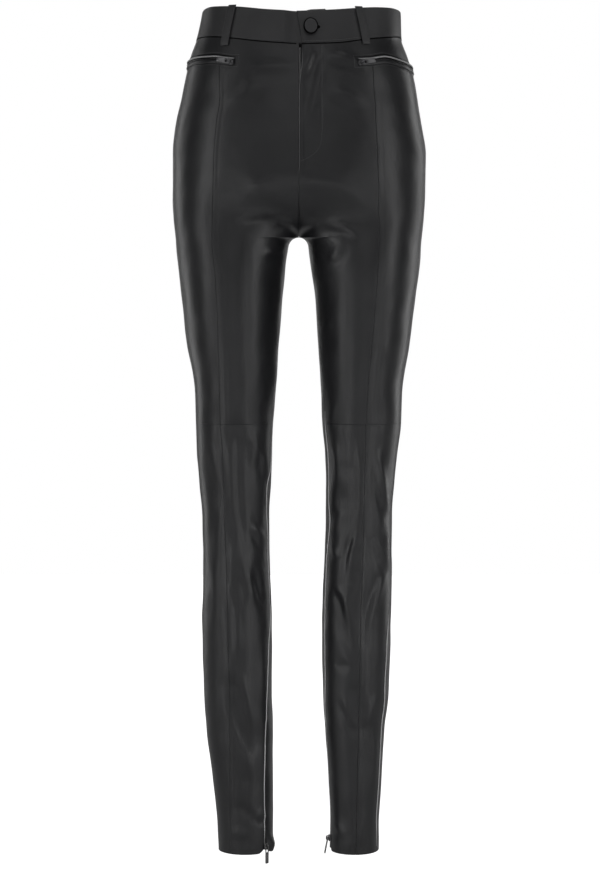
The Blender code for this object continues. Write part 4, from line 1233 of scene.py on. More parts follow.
def read_along(line: Array, normals: Array, at: Array) -> tuple[Array, Array]:
    """Points and normals at given distances from a line's start.

    Args:
        line: points of the line.
        normals: the normals there.
        at: the distances.

    Returns:
        The points and the unit normals.
    """
    run = run_along(line)
    spots, ups = (np.stack([np.interp(at, run, values[:, k]) for k in range(3)], axis=-1)
                  for values in (line, normals))
    return spots, unit(ups)


def stitches(line: Array, normals: Array, lift: float = 0.1, length: float = 2.7, gap: float = 0.7,
             radius: float = 0.24) -> Faceted:
    """Sewing stitches along a line on a surface, each a short bar bowed up between its two ends.

    Args:
        line: points on the surface.
        normals: the surface's normals there.
        lift: how far the thread lies off the surface.
        length: length of one stitch.
        gap: the bare stretch between two.
        radius: radius of the thread.

    Returns:
        All the stitches as one piece.
    """
    starts = np.arange(0.0, run_along(line)[-1] - length, length + gap)
    bow = np.array([-1.3, 0.55, 0.9, 0.55, -1.3]) * radius + lift
    spots, ups = read_along(line, normals, starts[:, None] + np.linspace(0.0, length, len(bow)))
    return joined([tube(spot, radius, 5) for spot in spots + ups * bow[:, None]])


# ---- leather -------------------------------------------------------------------------------------

ROLL = 0.45                  # radius of a panel's turned edge
KNEE_ROLL = 0.22             # the same across the leg
EDGE_STEPS = np.concatenate([ROLL * (1 - np.cos(np.radians([0, 18, 36, 54, 72, 90]))), [1.0, 2.0, 3.4]])
# Rows that follow the band's lower edge and the pocket mouth, and the first one that is level
YOKE_ROW, MOUTH_ROW, LEVEL_ROW = 45.0, 67.0, 108.0
FLY_CLOSED = 102.0           # drop where the fly's edge lies shut
# Rows set close together about the crotch
CROTCH_ROWS = (278.6, 280.4, 281.4, 281.8, CROTCH, 282.2, 282.6, 283.3, 284.4, 285.9)
LAP_FROM_X = 0.5             # where the underlap begins, past the centre
ZIP_GAP = 1.5                # half the opening of the inseam beside the ankle zip
ZIP_OPENS = 6.0              # height over which the inseam opens to it
CORNER_REACH = (5.0, 24.0)   # how far round and up the curved corners of the hem reach


def roll(near: Array, radius: float = ROLL) -> Array:
    """How far a rounded edge falls: r - sqrt(r ** 2 - (r - near) ** 2)."""
    inside = np.clip(radius - near, 0.0, radius)
    return radius - np.sqrt(radius ** 2 - inside ** 2)


def fall_near(near: Array, ends: Array, radius: float = ROLL, end_radius: float = KNEE_ROLL,
              deepest: float = ROLL) -> Array:
    """How far a piece falls away near its side edges and its ends together."""
    return np.minimum(roll(near, radius) + roll(ends, end_radius), deepest)


def rows_between(start: float, end: float, spacing: float, edges: tuple[bool, bool] = (True, True)) -> Array:
    """Numbers from one to the other, close together at the ends that are edges.

    Args:
        start: the first number.
        end: the last number.
        spacing: about how far apart they lie.
        edges: whether the first and the last end are edges.

    Returns:
        The numbers, rising.
    """
    first, last = (EDGE_STEPS if edge else np.zeros(1) for edge in edges)
    count = max(int(round((end - start - first[-1] - last[-1]) / spacing)), 1)
    middle = np.linspace(start + first[-1], end - last[-1], count + 1)[1:-1]
    return np.concatenate([start + first, middle, (end - last)[::-1]])


def columns_between(form: Form, drops: Array, start: Array, end: Array, spacing: float,
                    ) -> tuple[Array, Array, Array]:
    """Columns at even distances round the body, close together at both edges.

    Args:
        form: the half of the garment.
        drops: the rows.
        start: t of the first edge in each row.
        end: t of the second edge in each row.
        spacing: millimetres between columns.

    Returns:
        t of each column, its distance from the first edge, and from the second.
    """
    share = np.linspace(0.0, 1.0, 121)
    ts = start[:, None] * (1 - share) + end[:, None] * share
    runs = np.linalg.norm(np.diff(form.point(drops[:, None], ts), axis=1), axis=-1)
    along = np.concatenate([np.zeros((len(drops), 1)), np.cumsum(runs, axis=1)], axis=1)
    width = along[:, -1:]
    count = max(int(round((width.mean() - 2 * EDGE_STEPS[-1]) / spacing)), 1)
    middle = np.linspace(0.0, 1.0, count + 1)[1:-1]
    inner = EDGE_STEPS[-1] + (width - 2 * EDGE_STEPS[-1]) * middle
    edge = np.broadcast_to(EDGE_STEPS, (len(drops), len(EDGE_STEPS)))
    at = np.concatenate([edge, inner, width - edge[:, ::-1]], axis=1)
    return row_by_row(at, along, ts), at, width - at


def slit_width(drops: Array) -> Array:
    """How far the fly's edge stands open: all of SLIT_WIDTH at SLIT_TOP, nothing from FLY_CLOSED on."""
    return SLIT_WIDTH * smooth(1.6 * (FLY_CLOSED - drops) / (FLY_CLOSED - SLIT_TOP))


def zip_gap(drops: Array) -> Array:
    """Half the gap in the inseam: a seam, then the opening of the ankle zip."""
    return HALF_SEAM + (ZIP_GAP - HALF_SEAM) * smooth((drops - ZIP_TOP) / ZIP_OPENS)


def hem_corner(rows: Array, from_edge: Array) -> Array:
    """How far the hem curves up beside the ankle zip."""
    across, up = CORNER_REACH
    return HEM_CORNER * bump(from_edge, across) * smooth((rows[:, None] - HEM + up) / up)


def across_centre(xs: Sequence[float], column_at: Callable) -> tuple[Array, ...]:
    """Grids across the centre seam, each column read from its own half of the garment.

    Args:
        xs: x of each column.
        column_at: gives a column of each grid from the half's form and the distance from the centre.

    Returns:
        The grids.
    """
    columns = [column_at(FORM[Side.RIGHT if x < 0 else Side.LEFT], abs(x)) for x in xs]
    return tuple(np.stack(grid, axis=1) for grid in zip(*columns))


@dataclass(frozen=True)
class Panels:
    """The cut leather panels of one half of the garment, each a wall with turned edges."""

    side: Side
    across: float = 2.0
    down: float = 2.2
    back_spacing: float = 3.2
    flap_height: float = 5.8     # the right hem's corner behind the zip is turned out into a flap
    flap_drop: float = 1056.0
    flap_in: float = 12.0        # its middle's distance from the zip, and its half width and half height
    flap_size: tuple[float, float] = (9.0, 11.0)

    def build(self) -> dict[str, Thing]:
        """Build every panel of this half."""
        made = [*self._front_upper(), *self._front_lower(), *self._back()]
        return {piece.name.removeprefix("visual_"): piece for piece in made}

    @property
    def form(self) -> Form:
        """This half's form."""
        return FORM[self.side]

    def _panel(self, name: str, drops: Array, ts: Array, fall: Array, keep: Array | None = None,
               lift: Array = 0.0) -> Thing:
        """A panel from its grid and how far each point falls towards the turned edges."""
        points, normals = self.form.place(drops, ts, lift)
        outer = self._own_side(points - normals * fall[..., None])
        inner = self._own_side(points - normals * WALL)
        return solid_part(name + self.side.value, walled(outer, inner, keep),
                          (Look.LEATHER, Look.FLESH), "panel_leather", 50.0)

    def _own_side(self, points: Array) -> Array:
        """Points kept on their own side of the centre seam."""
        cleared = points.copy()
        cleared[..., 0] = self.side.sign * np.maximum(self.side.sign * points[..., 0], HALF_SEAM)
        return cleared

    def _levelled(self, rows: Array, ts: Array, mouth_gap: float = 0.0) -> Array:
        """Drops of the rows, bent to follow the waistband's lower edge and the pocket mouth."""
        low = self.form.level("low", ts) + 2 * HALF_SEAM
        mouth = self.form.level("mouth", ts) + mouth_gap
        rows = rows[:, None]
        yoke = low + (mouth - low) * (rows - YOKE_ROW) / (MOUTH_ROW - YOKE_ROW)
        below = mouth + (LEVEL_ROW - mouth) * (rows - MOUTH_ROW) / (LEVEL_ROW - MOUTH_ROW)
        return np.where(rows < MOUTH_ROW, yoke, np.where(rows < LEVEL_ROW, below, rows))

    def _set_out(self, rows: Array, start: Array, end: Array, spacing: float) -> tuple[Array, ...]:
        """t of a plain panel's columns, its falls, and the distances from its two side edges."""
        ts, before, after = columns_between(self.form, rows, start, end, spacing)
        ends = np.minimum(rows - rows[0], rows[-1] - rows)[:, None]
        return ts, fall_near(np.minimum(before, after), ends), before, after

    def _front_upper(self) -> list[Thing]:
        """The centre front with the yoke above the pocket, and the side front below the mouth."""
        form, end = self.form, KNEE_SEAM - HALF_SEAM
        yoke = rows_between(YOKE_ROW, MOUTH_ROW, self.down, (True, False))
        below = np.union1d(rows_between(MOUTH_ROW, end, self.down, (False, True)), CROTCH_ROWS)
        rows = np.concatenate([yoke[:-1], below])
        open_by = slit_width(rows) if self.side is Side.LEFT else 0.0 * rows
        start = np.where(rows < CROTCH, form.t_at_x(rows, HALF_SEAM + open_by),
                         form.inseam(rows) + form.step(rows, 0.02, HALF_SEAM))
        seam, gap, side = self._front_edges(rows)
        centre, from_start, to_seam = columns_between(form, rows, start, seam - gap, self.across)
        beyond, _, to_side = columns_between(form, rows, seam + gap, side, self.across)
        near_centre = np.where(rows[:, None] < MOUTH_ROW, from_start, np.minimum(from_start, to_seam))
        near_beyond = np.minimum(to_side, np.abs(MOUTH_ROW - rows[:, None]))
        fall = fall_near(np.concatenate([near_centre, near_beyond], axis=1),
                         np.minimum(rows - YOKE_ROW, end - rows)[:, None])
        ts = np.concatenate([centre, beyond], axis=1)
        keep = np.ones((len(rows) - 1, ts.shape[1] - 1), bool)
        keep[len(yoke) - 1:, centre.shape[1] - 1:] = False
        made = [self._panel("front_centre_upper_", self._levelled(rows, ts), ts, fall, keep)]
        rows = np.union1d(rows_between(MOUTH_ROW, end, self.down), CROTCH_ROWS)
        seam, gap, side = self._front_edges(rows)
        ts, fall, _, _ = self._set_out(rows, seam + gap, side, self.across)
        made.append(self._panel("front_side_upper_", self._levelled(rows, ts, 2 * HALF_SEAM), ts, fall))
        return made

    def _front_edges(self, rows: Array) -> tuple[Array, Array, Array]:
        """t of the front seam, half its gap, and t of the front's edge at the side seam."""
        seam, side = self.form.front_seam(rows), self.form.side_seam(rows)
        return seam, self.form.step(rows, seam, HALF_SEAM), side - self.form.step(rows, side, HALF_SEAM)

    def _front_lower(self) -> list[Thing]:
        """The two front panels below the knee."""
        form, made = self.form, []
        rows = rows_between(KNEE_SEAM + HALF_SEAM, HEM, self.down)
        inseam = form.inseam(rows)
        seam, gap, side = self._front_edges(rows)
        for name, low, high in (
                ("front_centre_lower_", inseam + form.step(rows, inseam + 0.01, zip_gap(rows)), seam - gap),
                ("front_side_lower_", seam + gap, side)):
            ts, fall, before, _ = self._set_out(rows, low, high, self.across)
            drops = np.broadcast_to(rows[:, None], ts.shape)
            if name == "front_centre_lower_":
                drops = drops - hem_corner(rows, before)
            made.append(self._panel(name, drops, ts, fall))
        return made

    def _back(self) -> list[Thing]:
        """The two back panels, which meet behind the knee."""
        form, made = self.form, []
        for name, first, last in (("back_upper_", YOKE_ROW, KNEE_SEAM - HALF_SEAM),
                                  ("back_lower_", KNEE_SEAM + HALF_SEAM, HEM)):
            rows = rows_between(first, last, self.back_spacing)
            rows = np.union1d(rows, CROTCH_ROWS) if first < CROTCH else rows
            side, above = form.side_seam(rows), rows < CROTCH
            inseam = np.where(above, 0.0, form.inseam(rows))
            gap = form.step(rows, np.where(above, 0.995, inseam), zip_gap(rows))
            end = np.where(above, form.t_at_x(np.minimum(rows, CROTCH - 0.01), HALF_SEAM, back=True),
                           1.0 + inseam - gap)
            start = side + form.step(rows, side, HALF_SEAM)
            ts, fall, _, after = self._set_out(rows, start, end, self.back_spacing)
            drops, lift = self._levelled(rows, ts), 0.0
            if first > CROTCH:
                drops = drops - hem_corner(rows, after)
                if self.side is Side.RIGHT:
                    width, height = self.flap_size
                    flap = bump(after - self.flap_in, width) * bump(rows[:, None] - self.flap_drop, height)
                    lift = self.flap_height * flap
            made.append(self._panel(name, drops, ts, fall, lift=lift))
        return made


@dataclass(frozen=True)
class Waistband:
    """The folded waistband in two halves; the right one goes on behind the left as the underlap."""

    height: float = 41.0
    spacing: float = 2.2
    edge_x_top: float = -2.6
    edge_x_low: float = 4.6
    turn_x: float = 14.0
    level_drop: float = 4.0      # drop of the rows on which the columns are set out
    edge: float = 1.1            # radius of the folded edges, and the most that a corner falls
    deepest: float = 1.2
    ripple: float = 0.7          # the ripples' height, as a share of the panels'

    def build(self) -> dict[str, Thing]:
        """Build both halves."""
        return {"waistband_left": self._left(), "waistband_right": self._right()}

    def _shares(self) -> Array:
        """Rows of the band as shares of its height."""
        return rows_between(0.0, self.height, self.spacing)[:, None] / self.height

    def _finish(self, name: str, points: Array, normals: Array, near: Array) -> Thing:
        """Round the band's edges and close its wall."""
        ends = np.minimum(self._shares(), 1 - self._shares()) * self.height
        fall = fall_near(near, ends, self.edge, self.edge, self.deepest)[..., None]
        ripple = RELIEF[Side.LEFT].ripples(points)[..., None] * self.ripple
        outer = points + normals * (ripple - fall)
        inner = points + normals * (ripple - BAND_WALL + fall * 0.6)
        return solid_part(name, walled(outer, inner), [Look.BAND], "band_leather")

    def _left(self) -> Thing:
        """The overlapping half, whose end slants down over the centre."""
        form, shares = FORM[Side.LEFT], self._shares()
        edge = self.edge_x_top + (self.edge_x_low - self.edge_x_top) * shares
        x_share = np.concatenate([EDGE_STEPS, np.linspace(EDGE_STEPS[-1], self.turn_x, 7)[1:]]) / self.turn_x
        x = edge + (self.turn_x - edge) * x_share
        rows = self.level_drop + self.height * shares
        t_near = form.t_at_x(rows, np.abs(x))
        t_far, to_end = self._to_back(form, rows[:, 0], self.turn_x, len(EDGE_STEPS))
        ts = np.concatenate([t_near, t_far], axis=1)
        drops = self._drops(form, np.concatenate([np.where(x > 0, t_near, 0.0), t_far], axis=1))
        points, normals = form.bare(drops, ts)
        mirror = np.ones(points.shape)
        mirror[:, :x.shape[1], 0] = np.where(x < 0, -1.0, 1.0)
        near = np.concatenate([x - edge, to_end], axis=1)
        return self._finish("waistband_left", (points + normals * BAND_LIFT) * mirror, normals * mirror, near)

    def _right(self) -> Thing:
        """The half that ends as the underlap behind the button."""
        shares = self._shares()
        left, right = FORM[Side.LEFT], FORM[Side.RIGHT]
        even = np.linspace(EDGE_STEPS[-1], UNDERLAP_X - LAP_FROM_X, 15)[1:]
        lap_x = UNDERLAP_X - np.concatenate([EDGE_STEPS, even])
        rows = self.level_drop + self.height * shares
        lap_t = left.t_at_x(rows, lap_x)
        top = left.level("top", lap_t) - UNDERLAP_RISE * smooth((lap_x - 4.0) / 12.0)
        lap_drop = top + (left.level("low", lap_t) - top) * shares
        lap_normals = left.normal(lap_drop, lap_t)
        ts, to_end = self._to_back(right, rows[:, 0], LAP_FROM_X, 4)
        drops = self._drops(right, ts)
        lifts = BAND_LIFT - LAP_STEP * (1 - smooth((ts - 0.009) / 0.03))
        normals = right.normal(drops, ts)
        points = np.concatenate([left.point(lap_drop, lap_t) + lap_normals * (BAND_LIFT - LAP_STEP),
                                 right.point(drops, ts) + normals * lifts[..., None]], axis=1)
        near = np.concatenate([UNDERLAP_X - lap_x + 0.0 * lap_drop, to_end], axis=1)
        return self._finish("waistband_right", points, np.concatenate([lap_normals, normals], axis=1), near)

    def _to_back(self, form: Form, rows: Array, from_x: float, skipped: int) -> tuple[Array, Array]:
        """Columns from a place on the front to the centre back, and how far each lies from there."""
        start, end = form.t_at_x(rows, from_x), form.t_at_x(rows, HALF_SEAM, back=True)
        ts, _, to_end = columns_between(form, rows, start, end, self.spacing)
        return ts[:, skipped:], to_end[:, skipped:]

    def _drops(self, form: Form, ts: Array) -> Array:
        """Drops of the grid, which follow the band's two edges."""
        top, low = form.level("top", ts), form.level("low", ts)
        return top + (low - top) * self._shares()


@dataclass(frozen=True)
class BeltLoop:
    """A folded strip that stands off the band between its two sewn ends; x 0 is the centre back."""

    name: str
    side: Side
    x_top: float
    x_low: float
    half_width: float = 4.5
    over_edge: float = 1.6
    below_band: float = 8.0
    wall: float = 1.6
    lift: float = 2.9
    bulge: float = 1.0
    tuck: float = 1.1            # how far the sewn ends are drawn in
    second_tuck: tuple[float, float, float] = (0.25, 4.4, 0.8)   # share of tuck, where, half width
    stitched: tuple[float, float, float] = (0.18, 1.3, 0.35)     # depth, distance in, half width
    edge: float = 0.7
    deepest: float = 0.8
    clear: float = 0.75          # the underside stays at least this far above the form
    low_row: float = 40.0        # drop at which x_low is read

    def build(self) -> Thing:
        """Build the loop."""
        form = FORM[self.side]
        top_t = float(form.t_at_x(0.0, self.x_top)) if self.x_top else 1.0
        low_t = float(form.t_at_x(self.low_row, self.x_low)) if self.x_low else 1.0
        top = float(form.level("top", top_t)) - self.over_edge
        low = float(form.level("low", low_t)) + self.below_band
        drops = rows_between(top, low, 1.6)[:, None]
        share = (drops - top) / (low - top)
        away = rows_between(-self.half_width, self.half_width, 1.0)[None, :]
        points, normals = self._middle(form, drops, share, away)
        ends, near = np.minimum(drops - top, low - drops), self.half_width - np.abs(away)
        fall = fall_near(near, ends, self.edge, self.edge, self.deepest)
        again, where, width = self.second_tuck
        depth, inside, narrow = self.stitched
        dent = self.tuck * (bump(ends, 2.2) + again * bump(ends - where, width))
        dent = dent + depth * bump(near - inside, narrow)
        lift = self.lift + self.bulge * np.sin(math.pi * share) - dent * 0.75
        outer = points + normals * (lift - fall)[..., None]
        inner = points + normals * np.maximum(lift - self.wall, self.clear)[..., None]
        return solid_part(self.name, walled(outer, inner), (Look.BAND, Look.FLESH),
                          "band_leather")

    def _middle(self, form: Form, drops: Array, share: Array, away: Array) -> tuple[Array, Array]:
        """Points of the form under the loop, and the way out of it."""
        if not self.x_top:
            points = form.point(drops, 1.0) + away[..., None] * np.array([1.0, 0.0, 0.0])
            normals = form.normal(drops, 0.9995) * np.array([0.0, 1.0, 1.0])
            return points, np.broadcast_to(unit(normals), points.shape)
        x = self.x_top + (self.x_low - self.x_top) * share + away
        return form.bare(drops, form.t_at_x(drops, x))


# ---- fastenings ----------------------------------------------------------------------------------


def bricks(centres: Array, axes: Array, half: tuple[float, float, float]) -> Faceted:
    """A small box with a narrowed top at each centre.

    Args:
        centres: N x 3 points.
        axes: N x 3 x 3, each box's across, along and out ways as rows.
        half: half sizes along those ways.

    Returns:
        All the boxes as one piece, of face kind 1.
    """
    corners = np.array([[x, y, z] for z in (-1.0, 1.0) for x, y in ((-1, -1), (1, -1), (1, 1), (-1, 1))])
    corners[4:, :2] *= 0.78
    points = centres[:, None] + np.einsum("ck,nkd->ncd", corners * np.array(half), axes)
    faces = np.array([[3, 2, 1, 0], [4, 5, 6, 7], [0, 1, 5, 4], [1, 2, 6, 5], [2, 3, 7, 6], [3, 0, 4, 7]])
    quads = (faces + 8 * np.arange(len(centres))[:, None, None]).reshape(-1, 4)
    return facing(Faceted(points.reshape(-1, 3), quads, np.ones(len(quads), int)))


def teeth(line: Array, normals: Array, pitch: float = 1.5, offset: float = 0.55) -> Faceted:
    """Zip teeth along a line, each one reaching over from the other side than the last.

    Args:
        line: points of the chain's middle.
        normals: the normals there.
        pitch: distance between two teeth of one side.
        offset: how far each stands off the middle.

    Returns:
        All the teeth as one piece.
    """
    at = np.arange(pitch, run_along(line)[-1] - pitch / 2, pitch / 2)
    spots, ups = read_along(line, normals, at)
    along = unit(np.gradient(spots, axis=0))
    across = unit(np.cross(along, ups))
    spots = spots + across * (offset * np.where(np.arange(len(at)) % 2, 1.0, -1.0))[:, None]
    return bricks(spots, np.stack([across, along, ups], axis=1), (0.95, 0.27, 0.42))


def strip(form: Form, drops: Array, ts: Array, lift: Array | float, wall: float, radius: float,
          near: Array) -> Faceted:
    """A narrow piece laid on the form, as a wall with turned edges."""
    points, normals = form.place(drops, ts, lift)
    return walled(points - normals * roll(near, radius)[..., None], points - normals * wall)


@dataclass(frozen=True)
class ZipSize:
    """Sizes that every slider and pull share; the hinge lies at the origin, the pull points to -Y."""

    width: float = 6.6
    length: float = 8.6
    thickness: float = 1.3
    arch_room: float = 2.4
    arch_reach: float = 2.3
    arch_top: float = 1.72
    flange: tuple[float, float] = (-2.6, 2.9)
    pull_width: float = 5.6
    pull_thickness: float = 1.2
    pull_rim: float = 1.2
    eye_width: float = 3.2
    corner: float = 1.2

    def slider(self) -> Faceted:
        """Slider body with a narrowed tail, two flanges and the arch that holds the pull."""
        base = -self.arch_room / 2
        outline = rounded(self.width, -self.length / 2, self.length / 2, 1.6, 6)
        outline[:, 0] *= 1.0 - 0.09 * (1 - outline[:, 1] / (self.length / 2))
        body = slab(outline, base - self.thickness, base, 0.35)
        share = np.linspace(-1.0, 1.0, 25)
        y = self.arch_reach * np.sign(share) * np.abs(share) ** 0.75
        z = (base - 0.5) + (self.arch_top - base + 0.5) * (1 - np.abs(share) ** 7) ** 0.6
        arch = tube(np.stack([0 * y, y, z], axis=-1), 0.88, 12, flat=0.56, facing_way=(1.0, 0.0, 0.0))
        flanges = [tube([(x, y, base + 0.05) for y in self.flange], 0.42, 8, 1)
                   for x in (-0.4 * self.width, 0.4 * self.width)]
        return joined([body, arch, *flanges])

    def pull(self, length: float, eye: float) -> Faceted:
        """Flat pull tab with an eye, raised edges and three lengthwise ribs."""
        half, z = self.pull_rim / 2, self.pull_thickness / 2
        outline = rounded(self.pull_width, -length, half, self.corner, 6)
        hole = rounded(self.eye_width, -half - eye, -half, self.corner * 0.8, 6)
        plate = slab(outline, -z, z, 0.3, hole)
        top, low = -half - eye - 1.3, 1.5 - length
        ribs = [tube([(x, top, face), (x, low, face)], 0.36, 8, 1, 0.6, (0.0, 0.0, 1.0))
                for x in (-1.55, 0.0, 1.55) for face in (-z, z)]
        return joined([plate, *ribs])


@dataclass(frozen=True)
class Zipper:
    """A slider and its pull at a place on the garment."""

    kind: str
    side: Side
    pull_length: float
    eye: float
    slider_drop: float = 0.0
    slider_x: float = 0.0
    tilt_deg: float = 0.0
    size: ZipSize = ZipSize()

    def matrix(self) -> Matrix:
        """The slider's frame: Z out of the cloth, the pull pointing to -Y."""
        form = FORM[self.side]
        body_rise = self.size.thickness + self.size.arch_room / 2
        if self.kind == "pocket":
            t = float(form.t_at_x(form.level("mouth", 0.2), self.slider_x))
            drop, rise = float(form.level("mouth", t)) + SLIDER_BELOW, POCKET_RISE + body_rise
            beyond = t + 0.02
            climbed = form.level("mouth", beyond) + SLIDER_BELOW - PULL_CLIMB
            tail = form.point(drop, t) - form.point(climbed, beyond)
        else:
            drop, rise, tail = self.slider_drop, ANKLE_RISE + body_rise, (0.0, 0.0, 1.0)
            t = float(form.inseam(np.array([drop]))[0])
        normal = form.normal(drop, t)
        return frame_matrix(form.point(drop, t) + normal * rise, normal, tail)

    def build(self) -> list[Thing]:
        """Build the slider, fixed to the garment, and the pull, which swings on it."""
        metals = (Look.GUNMETAL, Look.BRIGHT)
        names = [f"{self.kind}_{part}_{self.side.value}" for part in ("slider", "pull")]
        matrix = self.matrix()
        slider = self.size.slider().moved(matrix)
        swung = matrix @ Matrix.Rotation(math.radians(-self.tilt_deg), 4, "X")
        pull = self.size.pull(self.pull_length, self.eye).moved(swung)
        return [solid_part(names[0], slider, metals, "gunmetal", 45.0),
                solid_part(names[1], pull, metals, "gunmetal", 45.0, body=names[1])]


POCKET_RISE = 2.7            # underside of a pocket slider above the form
ANKLE_RISE = 0.6             # the same for an ankle slider
SLIDER_BELOW = 2.6           # how far the slider hangs below the mouth, and the pull's climb along it
PULL_CLIMB = 0.7


@dataclass(frozen=True)
class Pocket:
    """A front pocket: two jets round its zip, and the topstitching that holds them."""

    side: Side
    inner_t: float
    outer_t: float = 0.482
    jet_from: float = 0.8
    jet_upper: float = 4.4
    jet_lower: float = 5.8
    lift: float = 2.2
    wall: float = 1.7
    low_lift: float = 1.5
    low_wall: float = 1.1
    bead: float = 1.5
    tape: float = 2.2
    tape_lift: float = 1.35
    tape_wall: float = 0.9
    tape_rolled: float = 0.5
    chain_lift: float = 1.5
    wave: tuple[float, float, float] = (0.3, 5.5, 1.4)   # the jets' waviness: height, pace, softness
    stitched: float = 7.4        # how far above and below the mouth the topstitching runs

    def build(self) -> list[Thing]:
        """Build the jets, the zip and the stitches."""
        form, side = FORM[self.side], self.side.value
        ts = np.linspace(self.inner_t, self.outer_t, 64)
        mouth = form.level("mouth", ts)
        along = run_along(form.point(mouth, ts))
        ends = np.minimum(along, along[-1] - along)
        height, pace, softness = self.wave
        pieces = []
        for name, low, high, lift, wall in (
                ("pocket_jet_upper_", -self.jet_upper, -self.jet_from, self.lift, self.wall),
                ("pocket_jet_lower_", self.jet_from, self.jet_lower, self.low_lift, self.low_wall)):
            across = np.unique(np.clip(rows_between(low, high, 1.0), low, high))
            near = np.minimum(np.minimum(across - low, high - across)[:, None], ends)
            bed = lift + height * bump(np.sin(along / pace) - 1, softness)
            made = strip(form, mouth + across[:, None], ts, bed, wall, self.bead, near)
            pieces.append(solid_part(name + side, made, (Look.LEATHER, Look.FLESH),
                                     "panel_leather"))
        return [*pieces, self._zip(form, ts, mouth), self._stitches(form), self._piping(form, ts, mouth)]

    def _piping(self, form: Form, ts: Array, mouth: Array) -> Thing:
        """Painted light along the upper jet: a pale painted highlight on its crest, and black lines of painted shadow
        above and below it.
        """
        narrowed = np.sqrt(np.clip(np.minimum(ts - ts[0], ts[-1] - ts) / 0.02, 0.02, 1.0))
        bars = []
        # distance above the mouth, lift, radius, and kind: 0 is the painted highlight, 1 the black painted shadow
        for above, lift, radius, kind in ((2.3, self.lift + 0.1, 0.95, 0), (4.8, 0.3, 0.85, 1),
                                          (0.4, self.lift - 0.6, 0.7, 1)):
            line, normals = form.place(mouth - above, ts, lift)
            bars.append(tube(line, radius * narrowed, 10, kind, 0.7, normals))
        return trim("pocket_piping_" + self.side.value, joined(bars), Look.JET, Look.RIM)

    def _zip(self, form: Form, ts: Array, mouth: Array) -> Thing:
        """Tape with its row of teeth, between the jets."""
        across = np.linspace(-self.tape, self.tape, 7)[:, None]
        near = self.tape - np.abs(across) + 0.0 * ts
        tape = strip(form, mouth + across, ts, self.tape_lift, self.tape_wall, self.tape_rolled, near)
        line, normals = form.place(mouth, ts, self.chain_lift)
        return solid_part("pocket_zip_" + self.side.value, joined([tape, teeth(line[2:-1], normals[2:-1])]),
                          (Look.TAPE, Look.BRIGHT), "zip_tape", 45.0)

    def _stitches(self, form: Form) -> Thing:
        """A rectangle of topstitching round the pocket, open at the side seam."""
        ts = np.linspace(self.inner_t, self.outer_t, 120)
        mouth, away = form.level("mouth", ts), self.stitched
        back = form.step(mouth[0], ts[0], 4.8)
        loop_t = np.concatenate([ts[::-1], np.full(9, ts[0] - back), ts])
        loop_drop = np.concatenate([mouth[::-1] - away, mouth[0] + np.linspace(-away, away, 9), mouth + away])
        return trim("pocket_stitches_" + self.side.value, stitches(*form.place(loop_drop, loop_t)),
                    Look.THREAD)


@dataclass(frozen=True)
class AnkleZip:
    """The zip tape and its teeth between the two edges of the inseam."""

    side: Side
    half_width: float = 2.2
    below_top: float = 1.0       # the tape begins this far below the opening's top
    sunk: float = 0.1            # the tape lies this far behind the panels
    wall: float = 0.95
    rolled: float = 0.4
    chain_lift: float = -0.75

    def build(self) -> Thing:
        """Build the tape and the teeth."""
        form = FORM[self.side]
        drops = np.linspace(ZIP_TOP + self.below_top, HEM - HEM_CORNER, 90)
        middle = form.inseam(drops)
        across = np.linspace(-self.half_width, self.half_width, 7)
        ts = middle[:, None] + form.step(drops, middle + 0.01, 1.0)[:, None] * across
        near = self.half_width - np.abs(across) + 0.0 * ts
        made = joined([strip(form, drops[:, None], ts, -WALL - self.sunk, self.wall, self.rolled, near),
                       teeth(*form.place(drops, middle, self.chain_lift))])
        return solid_part("ankle_zip_" + self.side.value, made, (Look.TAPE, Look.GUNMETAL),
                          "zip_tape", 45.0)


@dataclass(frozen=True)
class Fly:
    """The zip behind the fly's open edge, and the curved row of topstitching beside it."""

    top: float = 48.5
    bottom: float = 166.0
    depth: float = 2.1
    tape_x: tuple[float, ...] = (-5.0, -3.5, -2.0, -1.0, 0.0, 1.0, 2.0, 3.5, 5.0, 6.5, 8.0)
    chain_column: int = 5
    band_stitched: float = 2.6   # how far above the band's lower edge its stitches run
    band_row: float = 42.0       # and from which x to which, read on this drop
    band_x: tuple[float, float] = (6.5, 74.0)
    stitch_path: tuple[tuple[float, float], ...] = (
        (28.2, 47.0), (28.2, 65.0), (28.2, 114.0), (28.3, 150.0), (27.6, 163.0), (24.6, 172.4),
        (18.5, 179.7), (11.1, 184.6), (5.0, 187.6), (1.4, 189.2))

    def build(self) -> list[Thing]:
        """Build the tape with its teeth, and the stitches."""
        drops = np.linspace(self.top, self.bottom, 60)
        outer, normals = across_centre(self.tape_x, lambda form, x: self._behind(form, drops, x))
        ups = normals[:, self.chain_column]
        chain = teeth(outer[:, self.chain_column] + ups * 0.3, ups)
        piece = solid_part("fly_zip", joined([walled(outer, outer - normals * 1.1), chain]),
                           (Look.TAPE, Look.BRIGHT), "zip_tape", 45.0)
        return [piece, self._topstitching(FORM[Side.LEFT]), self._band_stitches(FORM[Side.LEFT])]

    def _behind(self, form: Form, drops: Array, x: float) -> tuple[Array, Array]:
        """A column of the tape, behind the panels, and its normals."""
        points, normals = form.bare(drops, form.t_at_x(drops, x))
        return points - normals * self.depth, normals

    def _band_stitches(self, form: Form) -> Thing:
        """The stitches along the waistband's lower edge, from its end to the belt loop."""
        ts = form.t_at_x(self.band_row, np.linspace(*self.band_x, 60))
        points, normals = form.bare(form.level("low", ts) - self.band_stitched, ts)
        return trim("band_stitches", stitches(points + normals * BAND_LIFT, normals, 0.12), Look.THREAD)

    def _topstitching(self, form: Form) -> Thing:
        """The stitched line that runs down beside the fly and curves in to the centre seam."""
        spots = np.array(self.stitch_path)
        run = run_along(spots)
        x, drop = (curve_through(run, values, np.linspace(0.0, run[-1], 160)) for values in spots.T)
        return trim("fly_stitches", stitches(*form.place(drop, form.t_at_x(drop, x))), Look.THREAD)


